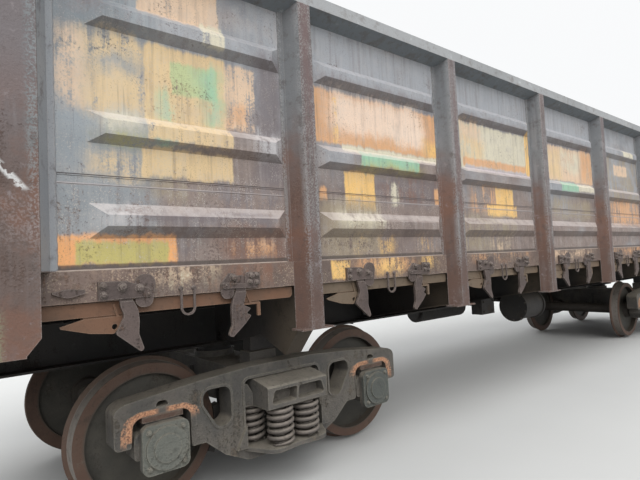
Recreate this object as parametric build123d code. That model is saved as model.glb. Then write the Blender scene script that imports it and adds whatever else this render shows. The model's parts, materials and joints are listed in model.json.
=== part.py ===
from build123d import *
import math
import os

# Open top railway gondola wagon with drop floor hatches, on two cast three piece bogies.
# Millimetres. X runs along the wagon, Y across it and Z up. The origin is under the middle of the wagon,
# at the lowest point of the wheel flanges, so the rail head is at z = flange_depth.
# The side at low Y is called right, and the side at high Y is called left.
# In an outline, the third number of a corner is the radius that rounds it.

# Layout along the wagon
post_pitch = 1730.0
bays_between_bogies = 5
end_bay_extra = 295.0
coupler_reach = 610.0
end_hatch_shift = 20.0
hatch_side_gap = 10.0
end_floor_gap = 8.0

# Heights above the rail head
flange_depth = 30.0
floor_over_rail = 1416.0
coupler_over_rail = 1060.0
centre_plate_over_rail = 801.0
sill_bottom_over_rail = 905.0
brake_pipe_over_rail = 980.0

# Walls
wall_height = 2070.0
inner_half_width = 1439.0
sheet = 5.0
wall_end_inset = 83.0

# Chords
chord_over_floor = 4.0
chord_leg_height = 163.0
chord_leg_width = 100.0
chord_thickness = 10.0
chord_sheet_gap = 0.3
top_chord_face = 89.0
top_chord_depth = 146.0
top_chord_wall = 8.0
mitre_gap = 0.2

# Side posts, pressed hat sections on a foot plate
post_depth = 123.0
post_face_half = 53.0
post_base_half = 110.0
post_flange_half = 148.0
post_wall = 7.0
post_foot_drop = 301.0
foot_plate = 12.0
foot_lip = 28.0

# Corner posts
corner_post_length = 369.0
corner_post_wall = 8.0
corner_foot_drop = 225.0
corner_chamfer = 69.0
corner_chamfer_rise = 85.0
corner_slant = 61.0
corner_flange = 30.0
corner_return_inset = 317.0
corner_face_inset = 237.0
corner_floor = 10.0

# End posts
end_post_y = 520.0
end_post_face_half = 50.0
end_post_base_half = 88.0
end_post_flange_half = 118.0

# Pressed ridges. A row has the gap below it, its height and the rise of each of its slopes. The gaps
# and the one above the last row share out the height that the rows leave.
side_ridge_rows = [(334.0, 188.0, 64.0), (324.0, 176.0, 48.0), (463.0, 172.0, 52.0)]
side_ridge_top_gap = 267.0
end_ridge_rows = [(330.0, 150.0, 40.0), (290.0, 150.0, 40.0), (290.0, 150.0, 40.0), (290.0, 150.0, 40.0)]
end_ridge_top_gap = 124.0
side_ridge_depth = 48.0
side_ridge_end_slope = 82.0
side_ridge_post_gap = 6.0
side_ridge_corner_gap = 246.0
end_ridge_depth = 40.0
end_ridge_end_slope = 60.0
end_ridge_post_gap = 12.0
end_ridge_corner_gap = 229.0

# Underframe
sill_web_half = 175.0
sill_height = 310.0
sill_web = 10.0
sill_cover = 10.0
sill_flange = 16.0
sill_flange_width = 130.0
sill_end_inset = 12.0
hinge_beam_half = 75.0
hinge_beam_web = 8.0
hinge_beam_flange = 10.0
floor_plate = 10.0
floor_skin_gap = 0.5
side_seat_gap = 1.0
beam_flange_half = 85.0
beam_lower_half = 75.0
beam_plate = 10.0
beam_web = 8.0
beam_root_gap = 2.0

# Bolster beams: the lower edge rises to a waist and drops to a nose beside the hatches
bolster_beam_half = 70.0
bolster_beam_wall = 10.0
bolster_root_y = 500.0
bolster_root_rise = 20.0
bolster_waist_inset = 506.0
bolster_waist_rise = 132.0
bolster_nose_inset = 192.0
bolster_nose_rise = 8.0

# End beams
end_beam_depth = 200.0
end_beam_drop = 390.0
end_beam_plate = 10.0
end_beam_rib = 8.0
end_beam_throat_half = 420.0
end_beam_shoulder_y = 620.0
end_beam_rib_places = [700.0, 1060.0]
end_beam_flange_depth = 140.0
end_floor_rib_depth = 130.0

# Couplers and draft gear
coupler_shank_half = 65.0
coupler_shank_length = 800.0
coupler_head_half_height = 130.0
mouth_half_width = 185.0
mouth_half_height = 150.0
striker_depth = 60.0
draft_gear_length = 900.0

# Hatches and their hinges
hatch_top_gap = 4.0
hatch_sheet = 6.0
hatch_edge_inset = 24.0
hatch_frame_depth = 72.0
hatch_frame_wall = 8.0
hatch_corner_radius = 30.0
hatch_rib_depth = 60.0
hatch_rib_base_half = 50.0
hatch_rib_crest_half = 30.0
hatch_hinge_lap = 23.0
hatch_frame_from_hinge = 36.0
hinge_y = 135.0
hinge_below_floor = 46.0
hinge_pin_radius = 12.0
hinge_clearance = 0.3
hinge_offset = 520.0
hinge_ear = 12.0
hinge_ear_half = 24.0
hinge_gap = 30.0
hinge_pin_end = 8.0

# Catches: brackets on the hatch, hooks, rotating catches and their plates on the bottom chord
bracket_top_drop = 80.0
bracket_flange = 10.0
bracket_inset = 6.0
bracket_proud = 10.0
bracket_shelf_depth = 70.0
catch_thickness = 12.0
hook_thickness = 22.0
tie_rod = 12.0
tie_loop_half = 40.0
tie_loop_rise = 35.0
tie_loop_drop = 122.0
cleat_thickness = 24.0

# Brake equipment under the body
brake_pipe_y = 235.0
brake_pipe_radius = 21.0
pipe_end_shift = 90.0
cylinder_y = -532.0
cylinder_below_sill = 85.0
cylinder_radius = 190.0
reservoir_y = 470.0
reservoir_below_sill = 115.0
reservoir_radius = 150.0
hanger_lap = 10.0
hanger_depth = 30.0
pull_rod_radius = 14.0
pull_rod_drop = 26.0
hand_wheel_radius = 170.0
hand_wheel_over_rail = 900.0
lever_rod_radius = 11.0
step_rail = 12.0
step_width = 300.0
step_over_rail = 670.0
step_pitch = 260.0

# Wheelsets
bogie_wheelbase = 1850.0
tread_radius = 475.0
wheel_inner_y = 720.0
wheel_width = 130.0
rim_depth = 75.0
hub_inner_y = 700.0
hub_outer_y = 885.0
hub_radius = 135.0
journal_radius = 65.0
wheel_seat_radius = 97.0
wheel_press_gap = 0.05
axle_radius = 84.0
axle_half_length = 1112.0

# Bogie castings: heights of the bolster from the centre plate, of the jaws and the seat from the axle
side_frame_inner = 940.0
side_frame_outer = 1103.0
column_half = 335.0
column_wear_plate = 4.0
opening_top_drop = 36.0
spring_seat_drop = 172.0
frame_bottom_drop = 270.0
jaw_half = 185.0
jaw_roof_rise = 195.0
jaw_clearance = 7.0
rim_width = 16.0
rim_proud = 10.0
spring_radius = 100.0
spring_row_y = 1018.0
spring_shelf = 28.0
spring_shelf_lip = 12.0
bolster_half_length = 1300.0
bolster_half_width = 262.0
bolster_waist_half = 200.0
bolster_over_springs = 233.0
centre_bowl_radius = 151.0
centre_bowl_wall = 24.0
centre_bowl_rise = 26.0
side_bearer_y = 762.0
side_bearer_half = 60.0
bearer_over_plate = 94.0
bearer_gap = 8.0
axle_box_inner = 912.0
axle_box_outer = 1142.0
axle_box_radius = 150.0
brake_shoe_gap = 8.0
brake_shoe_depth = 52.0
hanger_pin_inset = 45.0
seat_gap = 0.3
fit_gap = 0.2

# Values that follow
rail_z = flange_depth
floor_z = rail_z + floor_over_rail
top_z = floor_z + wall_height
axle_z = rail_z + tread_radius
flange_radius = tread_radius + flange_depth
coupler_z = rail_z + coupler_over_rail
centre_plate_z = rail_z + centre_plate_over_rail
brake_pipe_z = rail_z + brake_pipe_over_rail
sill_z = rail_z + sill_bottom_over_rail
sill_top_z = sill_z + sill_height
under_floor_z = floor_z - floor_plate
skin_z = floor_z - floor_skin_gap
bogie_x = bays_between_bogies * post_pitch / 2
half_frame = bogie_x + post_pitch + end_bay_extra
coupling_x = half_frame + coupler_reach
corner_x = half_frame - corner_post_length
end_wall_x = half_frame - wall_end_inset
sheet_outer = inner_half_width + sheet
post_outer = sheet_outer + post_depth
chord_outer = sheet_outer + chord_thickness
chord_bottom_z = floor_z + chord_over_floor
chord_top_z = chord_bottom_z + chord_leg_height
top_chord_bottom_z = top_z - top_chord_depth
post_foot_z = floor_z - post_foot_drop
corner_foot_z = floor_z - corner_foot_drop
beam_inner_y = hinge_beam_half + side_seat_gap
beam_root_z = sill_z + sill_flange + beam_root_gap
beam_foot_z = post_foot_z + foot_plate
post_places = [(i - bays_between_bogies / 2) * post_pitch for i in range(bays_between_bogies + 1)]
bay_places = [(i - (bays_between_bogies - 1) / 2) * post_pitch for i in range(bays_between_bogies)]
end_hatch_x = bogie_x + post_pitch / 2 + end_hatch_shift
hatch_places = [-end_hatch_x] + bay_places + [end_hatch_x]
hatch_length = post_pitch - 2 * (beam_flange_half + hatch_side_gap)
hatch_z = floor_z - hatch_top_gap
hatch_inner_edge = hinge_y - hatch_hinge_lap
hatch_outer_edge = chord_outer - hatch_edge_inset
hinge_z = floor_z - hinge_below_floor
end_floor_x = end_hatch_x + hatch_length / 2 + end_floor_gap
wheel_x = bogie_wheelbase / 2
spring_seat_z = axle_z - spring_seat_drop
spring_top_z = centre_plate_z - bolster_over_springs
bearer_top_z = centre_plate_z + bearer_over_plate

nodes = {}


# Plain shapes, each given by its corners


def outline_wire(outline, place):
    """Closed wire through the corners of an outline, with an arc at each corner that has a radius."""
    points = [place(*corner[:2]) for corner in outline]
    stretches = []
    for i, (corner, point) in enumerate(zip(outline, points)):
        if len(corner) < 3:
            stretches.append((point, point, point))
            continue
        radius = corner[2]
        back = (points[i - 1] - point).normalized()
        onward = (points[(i + 1) % len(points)] - point).normalized()
        half_angle = math.radians(back.get_angle(onward) / 2)
        reach = radius / math.tan(half_angle)
        depth = radius / math.sin(half_angle) - radius
        middle = point + (back + onward).normalized() * depth
        stretches.append((point + back * reach, middle, point + onward * reach))
    edges = []
    for i, (start, middle, stop) in enumerate(stretches):
        if start is not stop:
            edges.append(Edge.make_three_point_arc(start, middle, stop))
        edges.append(Edge.make_line(stop, stretches[(i + 1) % len(stretches)][0]))
    return Wire(edges)


def block(x0, x1, y0, y1, z0, z1):
    size = (x1 - x0, y1 - y0, z1 - z0)
    return Solid.make_box(*size).moved(Location((x0, y0, z0)))


def prism_x(outline, x0, x1):
    """Outline of (y, z) corners, drawn out along X."""
    wire = outline_wire(outline, lambda y, z: Vector(x0, y, z))
    return Solid.extrude(Face(wire), Vector(x1 - x0, 0, 0))


def prism_y(outline, y0, y1):
    """Outline of (x, z) corners, drawn out along Y."""
    wire = outline_wire(outline, lambda x, z: Vector(x, y0, z))
    return Solid.extrude(Face(wire), Vector(0, y1 - y0, 0))


def prism_z(outline, z0, z1):
    """Outline of (x, y) corners, drawn out along Z."""
    wire = outline_wire(outline, lambda x, y: Vector(x, y, z0))
    return Solid.extrude(Face(wire), Vector(0, 0, z1 - z0))


def rim_y(outline, width, y0, y1):
    """Raised rim of one width round an opening, given by its outline of (x, z) corners."""
    wire = outline_wire(outline, lambda x, z: Vector(x, y0, z))
    return Solid.extrude(Face(wire.offset_2d(width), [wire]), Vector(0, y1 - y0, 0))


def rod_x(radius, x0, x1, y, z):
    plane = Plane(origin=(x0, y, z), z_dir=(1, 0, 0))
    return Solid.make_cylinder(radius, x1 - x0, plane)


def rod_y(radius, x, y0, y1, z):
    plane = Plane(origin=(x, y0, z), z_dir=(0, 1, 0))
    return Solid.make_cylinder(radius, y1 - y0, plane)


def rod_z(radius, x, y, z0, z1):
    return Solid.make_cylinder(radius, z1 - z0, Plane(origin=(x, y, z0)))


def turned(outline):
    """Solid turned about the Y axis from an outline of (radius, y) points."""
    wire = Wire.make_polygon([Vector(0, y, r) for r, y in outline], close=True)
    return Solid.revolve(Face(wire), 360, Axis((0, 0, 0), (0, 1, 0)))


def mirrored(half):
    """Whole outline from the half at positive first numbers, which starts and ends on the middle line."""
    return half + [(-corner[0], *corner[1:]) for corner in reversed(half[1:-1])]


def flip_x(shape):
    return shape.mirror(Plane.YZ)


def flip_y(shape):
    return shape.mirror(Plane.XZ)


def half_turn(shape):
    """The same piece on the opposite side of the wagon, turned about the upright axis."""
    return shape.rotate(Axis.Z, 180)


def both_sides(shapes):
    return list(shapes) + [flip_y(s) for s in shapes]


def both_ends(shapes):
    return list(shapes) + [flip_x(s) for s in shapes]


def joined(shapes):
    """One solid from several that touch or overlap."""
    first, *rest = shapes
    result = first.fuse(*rest) if rest else first
    solids = result.solids()
    return solids[0] if len(solids) == 1 else Compound(solids)


def less(shape, *tools):
    result = shape.cut(*tools)
    solids = result.solids()
    return solids[0] if len(solids) == 1 else Compound(solids)


def moved(shape, x=0.0, y=0.0, z=0.0):
    return shape.moved(Location((x, y, z)))


def save(name, shapes):
    solids = []
    for shape in shapes:
        solids.extend(shape.solids())
    nodes[name] = Compound(solids)


# Underframe


def centre_sill():
    """Two Z sections joined by their upper flanges, with an I beam on top that carries the hatch hinges."""
    inner = sill_web_half - sill_web
    toe = sill_web_half + sill_flange_width
    web = hinge_beam_web / 2
    half = [
        (0, sill_top_z - sill_cover), (inner, sill_top_z - sill_cover), (inner, sill_z), (toe, sill_z),
        (toe, sill_z + sill_flange), (sill_web_half, sill_z + sill_flange), (sill_web_half, sill_top_z),
        (hinge_beam_half, sill_top_z), (hinge_beam_half, sill_top_z + hinge_beam_flange),
        (web, sill_top_z + hinge_beam_flange), (web, under_floor_z - hinge_beam_flange),
        (hinge_beam_half, under_floor_z - hinge_beam_flange), (hinge_beam_half, under_floor_z),
        (0, under_floor_z),
    ]
    end = half_frame - sill_end_inset
    save("centre_sill", [prism_x(mirrored(half), -end, end)])


def pipe_hole(x, y=brake_pipe_y):
    """Room for the brake pipe in a beam at x."""
    reach = end_beam_depth + seat_gap
    return rod_x(brake_pipe_radius + seat_gap, x - reach, x + reach, y, brake_pipe_z)


def beam_top(x):
    """Upper flange of the beam at x, from the hinge beam to the side."""
    return block(x - beam_flange_half, x + beam_flange_half, beam_inner_y, sheet_outer, under_floor_z, skin_z)


def beam_bottom(y):
    """Height of the underside of a cross beam at y, rising from the sill to the side."""
    share = (y - sill_web_half) / (sheet_outer - sill_web_half)
    return beam_root_z + (beam_foot_z - beam_root_z) * share


def cross_beams():
    """Tapered I beams between the hatches, from the sill's web to the foot of each side post."""
    inner = sill_web_half
    outer = sheet_outer
    web = [(inner, beam_root_z), (outer, beam_foot_z), (outer, under_floor_z), (inner, under_floor_z)]
    lower = [
        (inner, beam_root_z), (outer, beam_foot_z), (outer, beam_foot_z + beam_plate),
        (inner, beam_root_z + beam_plate),
    ]
    beams = []
    for x in post_places[1:-1]:
        x0 = x - beam_flange_half
        x1 = x + beam_flange_half
        parts = [
            prism_x(web, x - beam_web / 2, x + beam_web / 2),
            prism_x(lower, x - beam_lower_half, x + beam_lower_half),
            beam_top(x),
            block(x0, x1, outer - beam_plate, outer, beam_foot_z, under_floor_z),
        ]
        beams.append(less(joined(parts), pipe_hole(x)))
    save("cross_beams", both_sides(beams))


bolster_waist_y = sheet_outer - bolster_waist_inset
bolster_waist_z = sill_z + bolster_waist_rise
bolster_nose_y = sheet_outer - bolster_nose_inset
bolster_nose_z = sill_z + bolster_nose_rise
bolster_root_z = beam_root_z + bolster_root_rise


# Corners (y, z) of the lower edge of a bolster beam, from the sill to the side
bolster_edge = [
    (sill_web_half, beam_root_z), (bolster_root_y, bolster_root_z), (bolster_waist_y, bolster_waist_z),
    (bolster_nose_y, bolster_nose_z), (sheet_outer, beam_foot_z),
]


def bolster_underside(y):
    """Height of the lower edge of a bolster beam at y."""
    for (y0, z0), (y1, z1) in zip(bolster_edge[:-1], bolster_edge[1:]):
        if y0 <= y <= y1:
            return z0 + (z1 - z0) * (y - y0) / (y1 - y0)


def bolster_beams():
    """Box beams over the bogies, with a deep nose near the side that stops the open hatches."""
    inner = sill_web_half
    outer = sheet_outer
    wall = bolster_beam_wall
    radii = {bolster_waist_y: [60], bolster_nose_y: [20]}
    lower_edge = [(y, z, *radii.get(y, [])) for y, z in bolster_edge]
    outline = lower_edge + [(outer, under_floor_z), (inner, under_floor_z)]
    inside = [
        (inner + wall, beam_root_z + wall), (bolster_root_y, bolster_root_z + wall),
        (bolster_waist_y, bolster_waist_z + wall), (bolster_nose_y, bolster_nose_z + 2 * wall),
        (outer - wall, beam_foot_z + 2 * wall), (outer - wall, under_floor_z - wall),
        (inner + wall, under_floor_z - wall),
    ]
    half = bolster_beam_half
    beams = []
    for x in (-bogie_x, bogie_x):
        body = prism_x(outline, x - half, x + half)
        hollow = prism_x(inside, x - half + wall, x + half - wall)
        beams.append(less(joined([body, beam_top(x)]), hollow, pipe_hole(x)))
    save("bolster_beams", both_sides(beams))


def end_beams():
    """Channel beams across the ends, with the opening for the coupler in the middle."""
    x1 = half_frame
    x0 = half_frame - end_beam_depth
    low_z = floor_z - end_beam_drop
    throat_z = sill_z - 2 * end_beam_plate
    outer = sheet_outer
    half = [
        (0, throat_z), (end_beam_throat_half, throat_z), (end_beam_shoulder_y, low_z), (outer, low_z),
        (outer, skin_z), (0, skin_z),
    ]
    plate = prism_x(mirrored(half), x1 - end_beam_plate, x1)
    top = block(x0, x1, -outer, outer, under_floor_z, skin_z)
    flange_x = x1 - end_beam_flange_depth
    pieces = [block(flange_x, x1, end_beam_shoulder_y, outer, low_z, low_z + end_beam_plate)]
    for y in end_beam_rib_places + [outer - end_beam_rib]:
        pieces.append(block(flange_x, x1, y, y + end_beam_rib, low_z, under_floor_z))
    room = hinge_beam_half + side_seat_gap
    cuts = [
        block(
            x1 - 2 * end_beam_plate, x1 + end_beam_plate, -mouth_half_width, mouth_half_width,
            coupler_z - mouth_half_height, coupler_z + mouth_half_height,
        ),
        block(x0 - 1, x1 - end_beam_plate - side_seat_gap, -room, room, sill_top_z, floor_z),
        pipe_hole(x1, brake_pipe_y + pipe_end_shift),
    ]
    save("end_beams", both_ends([less(joined([plate, top] + both_sides(pieces)), *cuts)]))


def end_floors():
    """Fixed floor sheets between the last hatches and the end walls, with two stiffeners each."""
    x0 = end_floor_x
    x1 = half_frame - end_beam_depth - floor_skin_gap
    y0 = beam_inner_y
    y1 = sheet_outer - beam_web
    stiffener_y = y0 + hinge_beam_half
    low_z = floor_z - end_floor_rib_depth
    parts = [block(x0, x1, y0, y1, under_floor_z, skin_z)]
    for x in (x0 + beam_web, (x0 + x1) / 2):
        parts.append(block(x, x + beam_web, stiffener_y, y1, low_z, under_floor_z))
    save("end_floors", both_ends(both_sides([joined(parts)])))


# Body walls


def ridge_levels(rows, top_gap):
    """Bottom, height and slope rise of each row of ridges, spread over the height of the wall."""
    heights = sum(height for gap, height, rise in rows)
    gaps = sum(gap for gap, height, rise in rows) + top_gap
    spread = (top_chord_bottom_z - floor_z - heights) / gaps
    levels = []
    z = floor_z
    for gap, height, rise in rows:
        z = z + gap * spread
        levels.append((z, height, rise))
        z = z + height
    return levels


def side_ridge(x0, x1, z0, height, rise):
    """Pressed ridge with sloping ends on the left wall: the solid to add and the hollow to take away."""
    y0 = inner_half_width
    y1 = sheet_outer
    crest = y1 + side_ridge_depth
    z1 = z0 + height
    across = [(y0, z0), (y1, z0), (crest, z0 + rise), (crest, z1 - rise), (y1, z1), (y0, z1)]
    slope = side_ridge_end_slope
    along = [(x0, y0), (x0, y1), (x0 + slope, crest), (x1 - slope, crest), (x1, y1), (x1, y0)]
    full = prism_x(across, x0, x1).intersect(prism_z(along, z0, z1)).solids()[0]
    return full, moved(full, y=-sheet)


def side_sheets():
    """Side walls with three rows of pressed ridges between the posts."""
    x_end = corner_x - side_ridge_corner_gap
    post_gap = post_flange_half + side_ridge_post_gap
    starts = [-x_end] + [x + post_gap for x in post_places]
    stops = [x - post_gap for x in post_places] + [x_end]
    low_z = chord_bottom_z + chord_thickness + chord_sheet_gap
    wall = block(-end_wall_x, end_wall_x, inner_half_width, sheet_outer, low_z, top_chord_bottom_z)
    added = []
    taken = []
    for start, stop in zip(starts, stops):
        for z, height, rise in ridge_levels(side_ridge_rows, side_ridge_top_gap):
            full, hollow = side_ridge(start, stop, z, height, rise)
            added.append(full)
            taken.append(hollow)
    save("side_sheets", both_sides([less(joined([wall] + added), *taken)]))


def side_posts():
    """Pressed hat posts, welded to the side sheet and carried down to a foot plate on the cross beams."""
    y0 = sheet_outer
    y1 = post_outer
    yc = chord_outer
    face = post_face_half
    base = post_base_half
    flange = post_flange_half
    t = post_wall
    upper = [
        (-flange, y0), (-base + 2 * t, y0), (-face + t, y1 - t), (face - t, y1 - t), (base - 2 * t, y0),
        (flange, y0), (flange, y0 + t), (base, y0 + t), (face, y1), (-face, y1), (-base, y0 + t),
        (-flange, y0 + t),
    ]
    lower = [
        (-base + 2 * t, yc), (-face + t, y1 - t), (face - t, y1 - t), (base - 2 * t, yc), (base, yc),
        (face, y1), (-face, y1), (-base, yc),
    ]
    posts = []
    for x in post_places:
        lip = base + foot_lip
        parts = [
            prism_z([(x + px, py) for px, py in upper], chord_top_z, top_z - top_chord_face),
            prism_z([(x + px, py) for px, py in lower], beam_foot_z, chord_top_z),
            block(x - lip, x + lip, y0, y1, post_foot_z, beam_foot_z),
        ]
        chord = prism_x(top_chord_outline(), x - flange - 1, x + flange + 1)
        posts.append(less(joined(parts), chord))
    save("side_posts", both_sides(posts))


def bottom_chords():
    """Angles along the lower edge of the side walls: the hatches close against the level leg."""
    y1 = chord_outer
    y0 = chord_outer - chord_leg_width
    leg_z = chord_bottom_z + chord_thickness
    outline = [
        (y1, chord_bottom_z), (y1, chord_top_z), (y1 - chord_thickness, chord_top_z),
        (y1 - chord_thickness, leg_z), (y0, leg_z), (y0, chord_bottom_z),
    ]
    end = corner_x - floor_skin_gap
    save("bottom_chords", both_sides([prism_x(outline, -end, end)]))


def top_chord_outline():
    y0 = inner_half_width
    y1 = post_outer
    return [
        (y0, top_z), (y1, top_z), (y1, top_z - top_chord_face), (sheet_outer, top_chord_bottom_z),
        (y0, top_chord_bottom_z),
    ]


def top_chords():
    """Hollow chords round the top of the walls, mitred at the corners."""
    t = top_chord_wall
    y0 = inner_half_width
    y1 = post_outer
    outer = top_chord_outline()
    inner = [
        (y0 + t, top_z - t), (y1 - t, top_z - t), (y1 - t, top_z - top_chord_face + t / 2),
        (y0 + t, top_chord_bottom_z + t),
    ]
    end = half_frame
    depth = y1 - y0
    shift = half_frame - post_outer
    side = less(prism_x(outer, -end, end), prism_x(inner, -end - 1, end + 1))
    across = [(y + shift, z) for y, z in outer]
    hollow = [(y + shift, z) for y, z in inner]
    bar = less(prism_y(across, -y1, y1), prism_y(hollow, -y1 - 1, y1 + 1))
    gap = mitre_gap
    low_z = top_chord_bottom_z - 1
    keep_side = [(-end + gap, y1), (end - gap, y1), (end - depth - gap, y0), (-end + depth + gap, y0)]
    side = side.intersect(prism_z(keep_side, low_z, top_z + 1)).solids()[0]
    keep_bar = [(end, -y1 + gap), (end, y1 - gap), (end - depth, y0 - gap), (end - depth, -y0 + gap)]
    bar = bar.intersect(prism_z(keep_bar, low_z, top_z + 1)).solids()[0]
    save("top_chords", both_sides([side]) + both_ends([bar]))


def end_ridge(y0, y1, z0, height, rise):
    """Pressed ridge on the end wall at high X: the solid to add and the hollow to take away."""
    x0 = end_wall_x
    x1 = end_wall_x + sheet
    crest = x1 + end_ridge_depth
    z1 = z0 + height
    across = [(x0, z0), (x1, z0), (crest, z0 + rise), (crest, z1 - rise), (x1, z1), (x0, z1)]
    slope = end_ridge_end_slope
    plan = [(x0, y0), (x1, y0), (crest, y0 + slope), (crest, y1 - slope), (x1, y1), (x0, y1)]
    full = prism_y(across, y0, y1).intersect(prism_z(plan, z0, z1)).solids()[0]
    return full, moved(full, x=-sheet)


def end_walls():
    """End walls with level pressed ridges between their posts."""
    wall = block(
        end_wall_x, end_wall_x + sheet, -inner_half_width, inner_half_width, floor_z, top_chord_bottom_z,
    )
    beside_post = end_post_flange_half + end_ridge_post_gap
    middle = end_post_y - beside_post
    inner = end_post_y + beside_post
    outer = inner_half_width - end_ridge_corner_gap
    added = []
    taken = []
    for z, height, rise in ridge_levels(end_ridge_rows, end_ridge_top_gap):
        for y0, y1 in ((-outer, -inner), (-middle, middle), (inner, outer)):
            full, hollow = end_ridge(y0, y1, z, height, rise)
            added.append(full)
            taken.append(hollow)
    save("end_walls", both_ends([less(joined([wall] + added), *taken)]))


def end_posts():
    """Two hat posts on each end wall."""
    x0 = end_wall_x + sheet
    x1 = half_frame
    t = post_wall
    face = end_post_face_half
    base = end_post_base_half
    flange = end_post_flange_half
    outline = [
        (x0, -flange), (x0 + t, -flange), (x0 + t, -base), (x1, -face), (x1, face), (x0 + t, base),
        (x0 + t, flange), (x0, flange), (x0, base - 2 * t), (x1 - t, face - t), (x1 - t, -face + t),
        (x0, -base + 2 * t),
    ]
    post = prism_z(outline, floor_z, top_chord_bottom_z)
    save("end_posts", both_ends([moved(post, y=-end_post_y), moved(post, y=end_post_y)]))


def corner_posts():
    """Wide pressed corner posts: a broad side face, a narrow end face and slanted returns."""
    t = corner_post_wall
    y0 = sheet_outer
    y1 = post_outer
    x1 = half_frame
    xs = corner_x
    toe_x = xs - corner_slant
    end_return = y1 - corner_return_inset
    end_face = y1 - corner_face_inset
    x_in = end_wall_x + sheet
    outline = [
        (toe_x - corner_flange, y0), (toe_x - corner_flange, y0 + t), (toe_x, y0 + t), (xs, y1), (x1, y1),
        (x1, end_face), (x_in + t, end_return), (x_in + t, end_return - corner_flange),
        (x_in, end_return - corner_flange), (x_in, end_return + t), (x1 - t, end_face + t / 2),
        (x1 - t, y1 - t), (xs + t / 2, y1 - t), (toe_x + t, y0),
    ]
    apron_top_z = chord_top_z + chord_sheet_gap
    post = prism_z(outline, apron_top_z, top_chord_bottom_z)
    zc = corner_foot_z
    apron_outline = [
        (xs, apron_top_z), (xs, zc + corner_chamfer_rise), (xs + corner_chamfer, zc), (x1, zc),
        (x1, apron_top_z),
    ]
    inner = y0 + chord_sheet_gap
    web_x = xs + corner_slant
    parts = [
        post,
        prism_y(apron_outline, y1 - t, y1),
        block(x1 - t, x1, inner, y1, zc, apron_top_z),
        block(web_x, web_x + t, inner, y1, zc, floor_z),
        block(xs + chord_sheet_gap, x1, inner, y1, floor_z - corner_floor, floor_z),
    ]
    save("corner_posts", both_ends(both_sides([joined(parts)])))


# Floor hatches


def hinge_brackets():
    """Pairs of ears on the hinge beam of the sill that hold the hatch hinge pins."""
    web = hinge_beam_web / 2
    tip = hinge_y + hinge_ear_half
    cut = hinge_ear_half - 10
    half = hinge_ear_half
    ear = [
        (web, hinge_z - half), (tip - cut, hinge_z - half), (tip, hinge_z - half + cut),
        (tip, hinge_z + half - cut), (tip - cut, hinge_z + half), (web, hinge_z + half),
    ]
    gap = hinge_gap / 2
    brackets = []
    for place in hatch_places:
        for x in (place - hinge_offset, place + hinge_offset):
            parts = [
                prism_x(ear, x - gap - hinge_ear, x - gap),
                prism_x(ear, x + gap, x + gap + hinge_ear),
                block(x - gap, x + gap, web, web + half, hinge_z - half, hinge_z + half),
            ]
            reach = gap + 2 * hinge_ear
            hole = rod_x(hinge_pin_radius + hinge_clearance, x - reach, x + reach, hinge_y, hinge_z)
            brackets.append(less(joined(parts), hole))
    save("hinge_brackets", both_sides(brackets))


# Catch pieces on the left side. X is measured from the middle of the hatch. Heights of a bracket are
# measured from the top of the hatch, and those of hooks, catches and plates from the bottom of the chord.
long_bracket = [
    (350, -80), (560, -80), (672, -108, 4), (668, -118, 4), (530, -157), (410, -172, 20), (378, -120, 15),
    (350, -92),
]
long_bracket_hole = (408, -134, 15)
long_brace = [(418, -12), (406, -12), (384, -82), (396, -82)]
short_bracket = [(-360, -80), (-360, -92), (-483, -92), (-483, -167), (-505, -167), (-505, -80)]
short_brace = [(-394, -12), (-406, -12), (-441, -82), (-429, -82)]
long_hook = [
    (396, 92, 30), (318, 92, 30), (322, 0), (293, -60, 50), (288, -120, 60), (293, -190, 60),
    (266, -274, 10), (284, -288, 10), (412, -180, 14), (366, -88, 40), (385, -40, 30),
]
short_hook = [
    (-312, 92, 30), (-390, 92, 30), (-386, 0), (-374, -50), (-360, -96, 12), (-413, -120, 6),
    (-380, -148, 6), (-414, -166, 6), (-372, -210), (-282, -285, 12), (-250, -278, 14),
    (-278, -215, 50), (-276, -105, 60), (-292, -48, 60), (-316, 0),
]
long_catch = [(305, 132, 55), (180, 132, 52), (213, -50, 40), (303, -50, 42)]
short_catch = [(-212, 45, 20), (-216, -52, 40), (-300, -45, 36), (-305, 108, 16), (-268, 108, 16)]
long_plate = [(495, 3, 6), (495, 102, 10), (350, 98, 30), (225, 52, 18), (218, 5, 15)]
long_plate_foot = [(495, 3), (495, 102), (405, 99), (405, 3)]
short_plate = [(-376, 112, 30), (-490, 108, 18), (-490, 28, 12), (-382, 28, 12)]
short_plate_foot = [(-398, 109), (-490, 108), (-490, 28), (-398, 28)]
short_arm = [(-220, 52, 12), (-222, 16, 12), (-470, 8), (-470, 30), (-350, 42)]
cleat = [(-46, 58, 6), (-130, 74, 60), (-213, 66, 8), (-213, 46, 8), (-130, 26, 60)]


def raised(outline, z):
    """The same outline with its heights measured from z."""
    return [(corner[0], corner[1] + z, *corner[2:]) for corner in outline]


def hatch_brackets():
    """Brackets under the outer edge of a cover that the hooks and catches hold."""
    edge = hatch_outer_edge
    low = hatch_z - hatch_frame_depth
    flange_z = hatch_z - bracket_top_drop - bracket_flange
    y0 = edge - bracket_inset
    y1 = edge + bracket_proud
    x, z, radius = long_bracket_hole
    hole = rod_y(radius, x, y0 - 1, y1 + 1, hatch_z + z)
    parts = [less(prism_y(raised(long_bracket, hatch_z), y0, y1), hole)]
    parts.append(prism_y(raised(short_bracket, hatch_z), y0, y1))
    for brace in (long_brace, short_brace):
        parts.append(prism_y(raised(brace, hatch_z), edge - 1, y1 - 2))
    for outline in (long_bracket, short_bracket):
        x0 = min(corner[0] for corner in outline[:2] + outline[-1:])
        x1 = max(corner[0] for corner in outline[:2] + outline[-1:])
        parts.append(block(x0, x1, edge - bracket_shelf_depth, y0, flange_z, low + 1))
        parts.append(block(x0, x1, edge - bracket_shelf_depth, y1, flange_z, flange_z + bracket_flange))
    return parts


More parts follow.
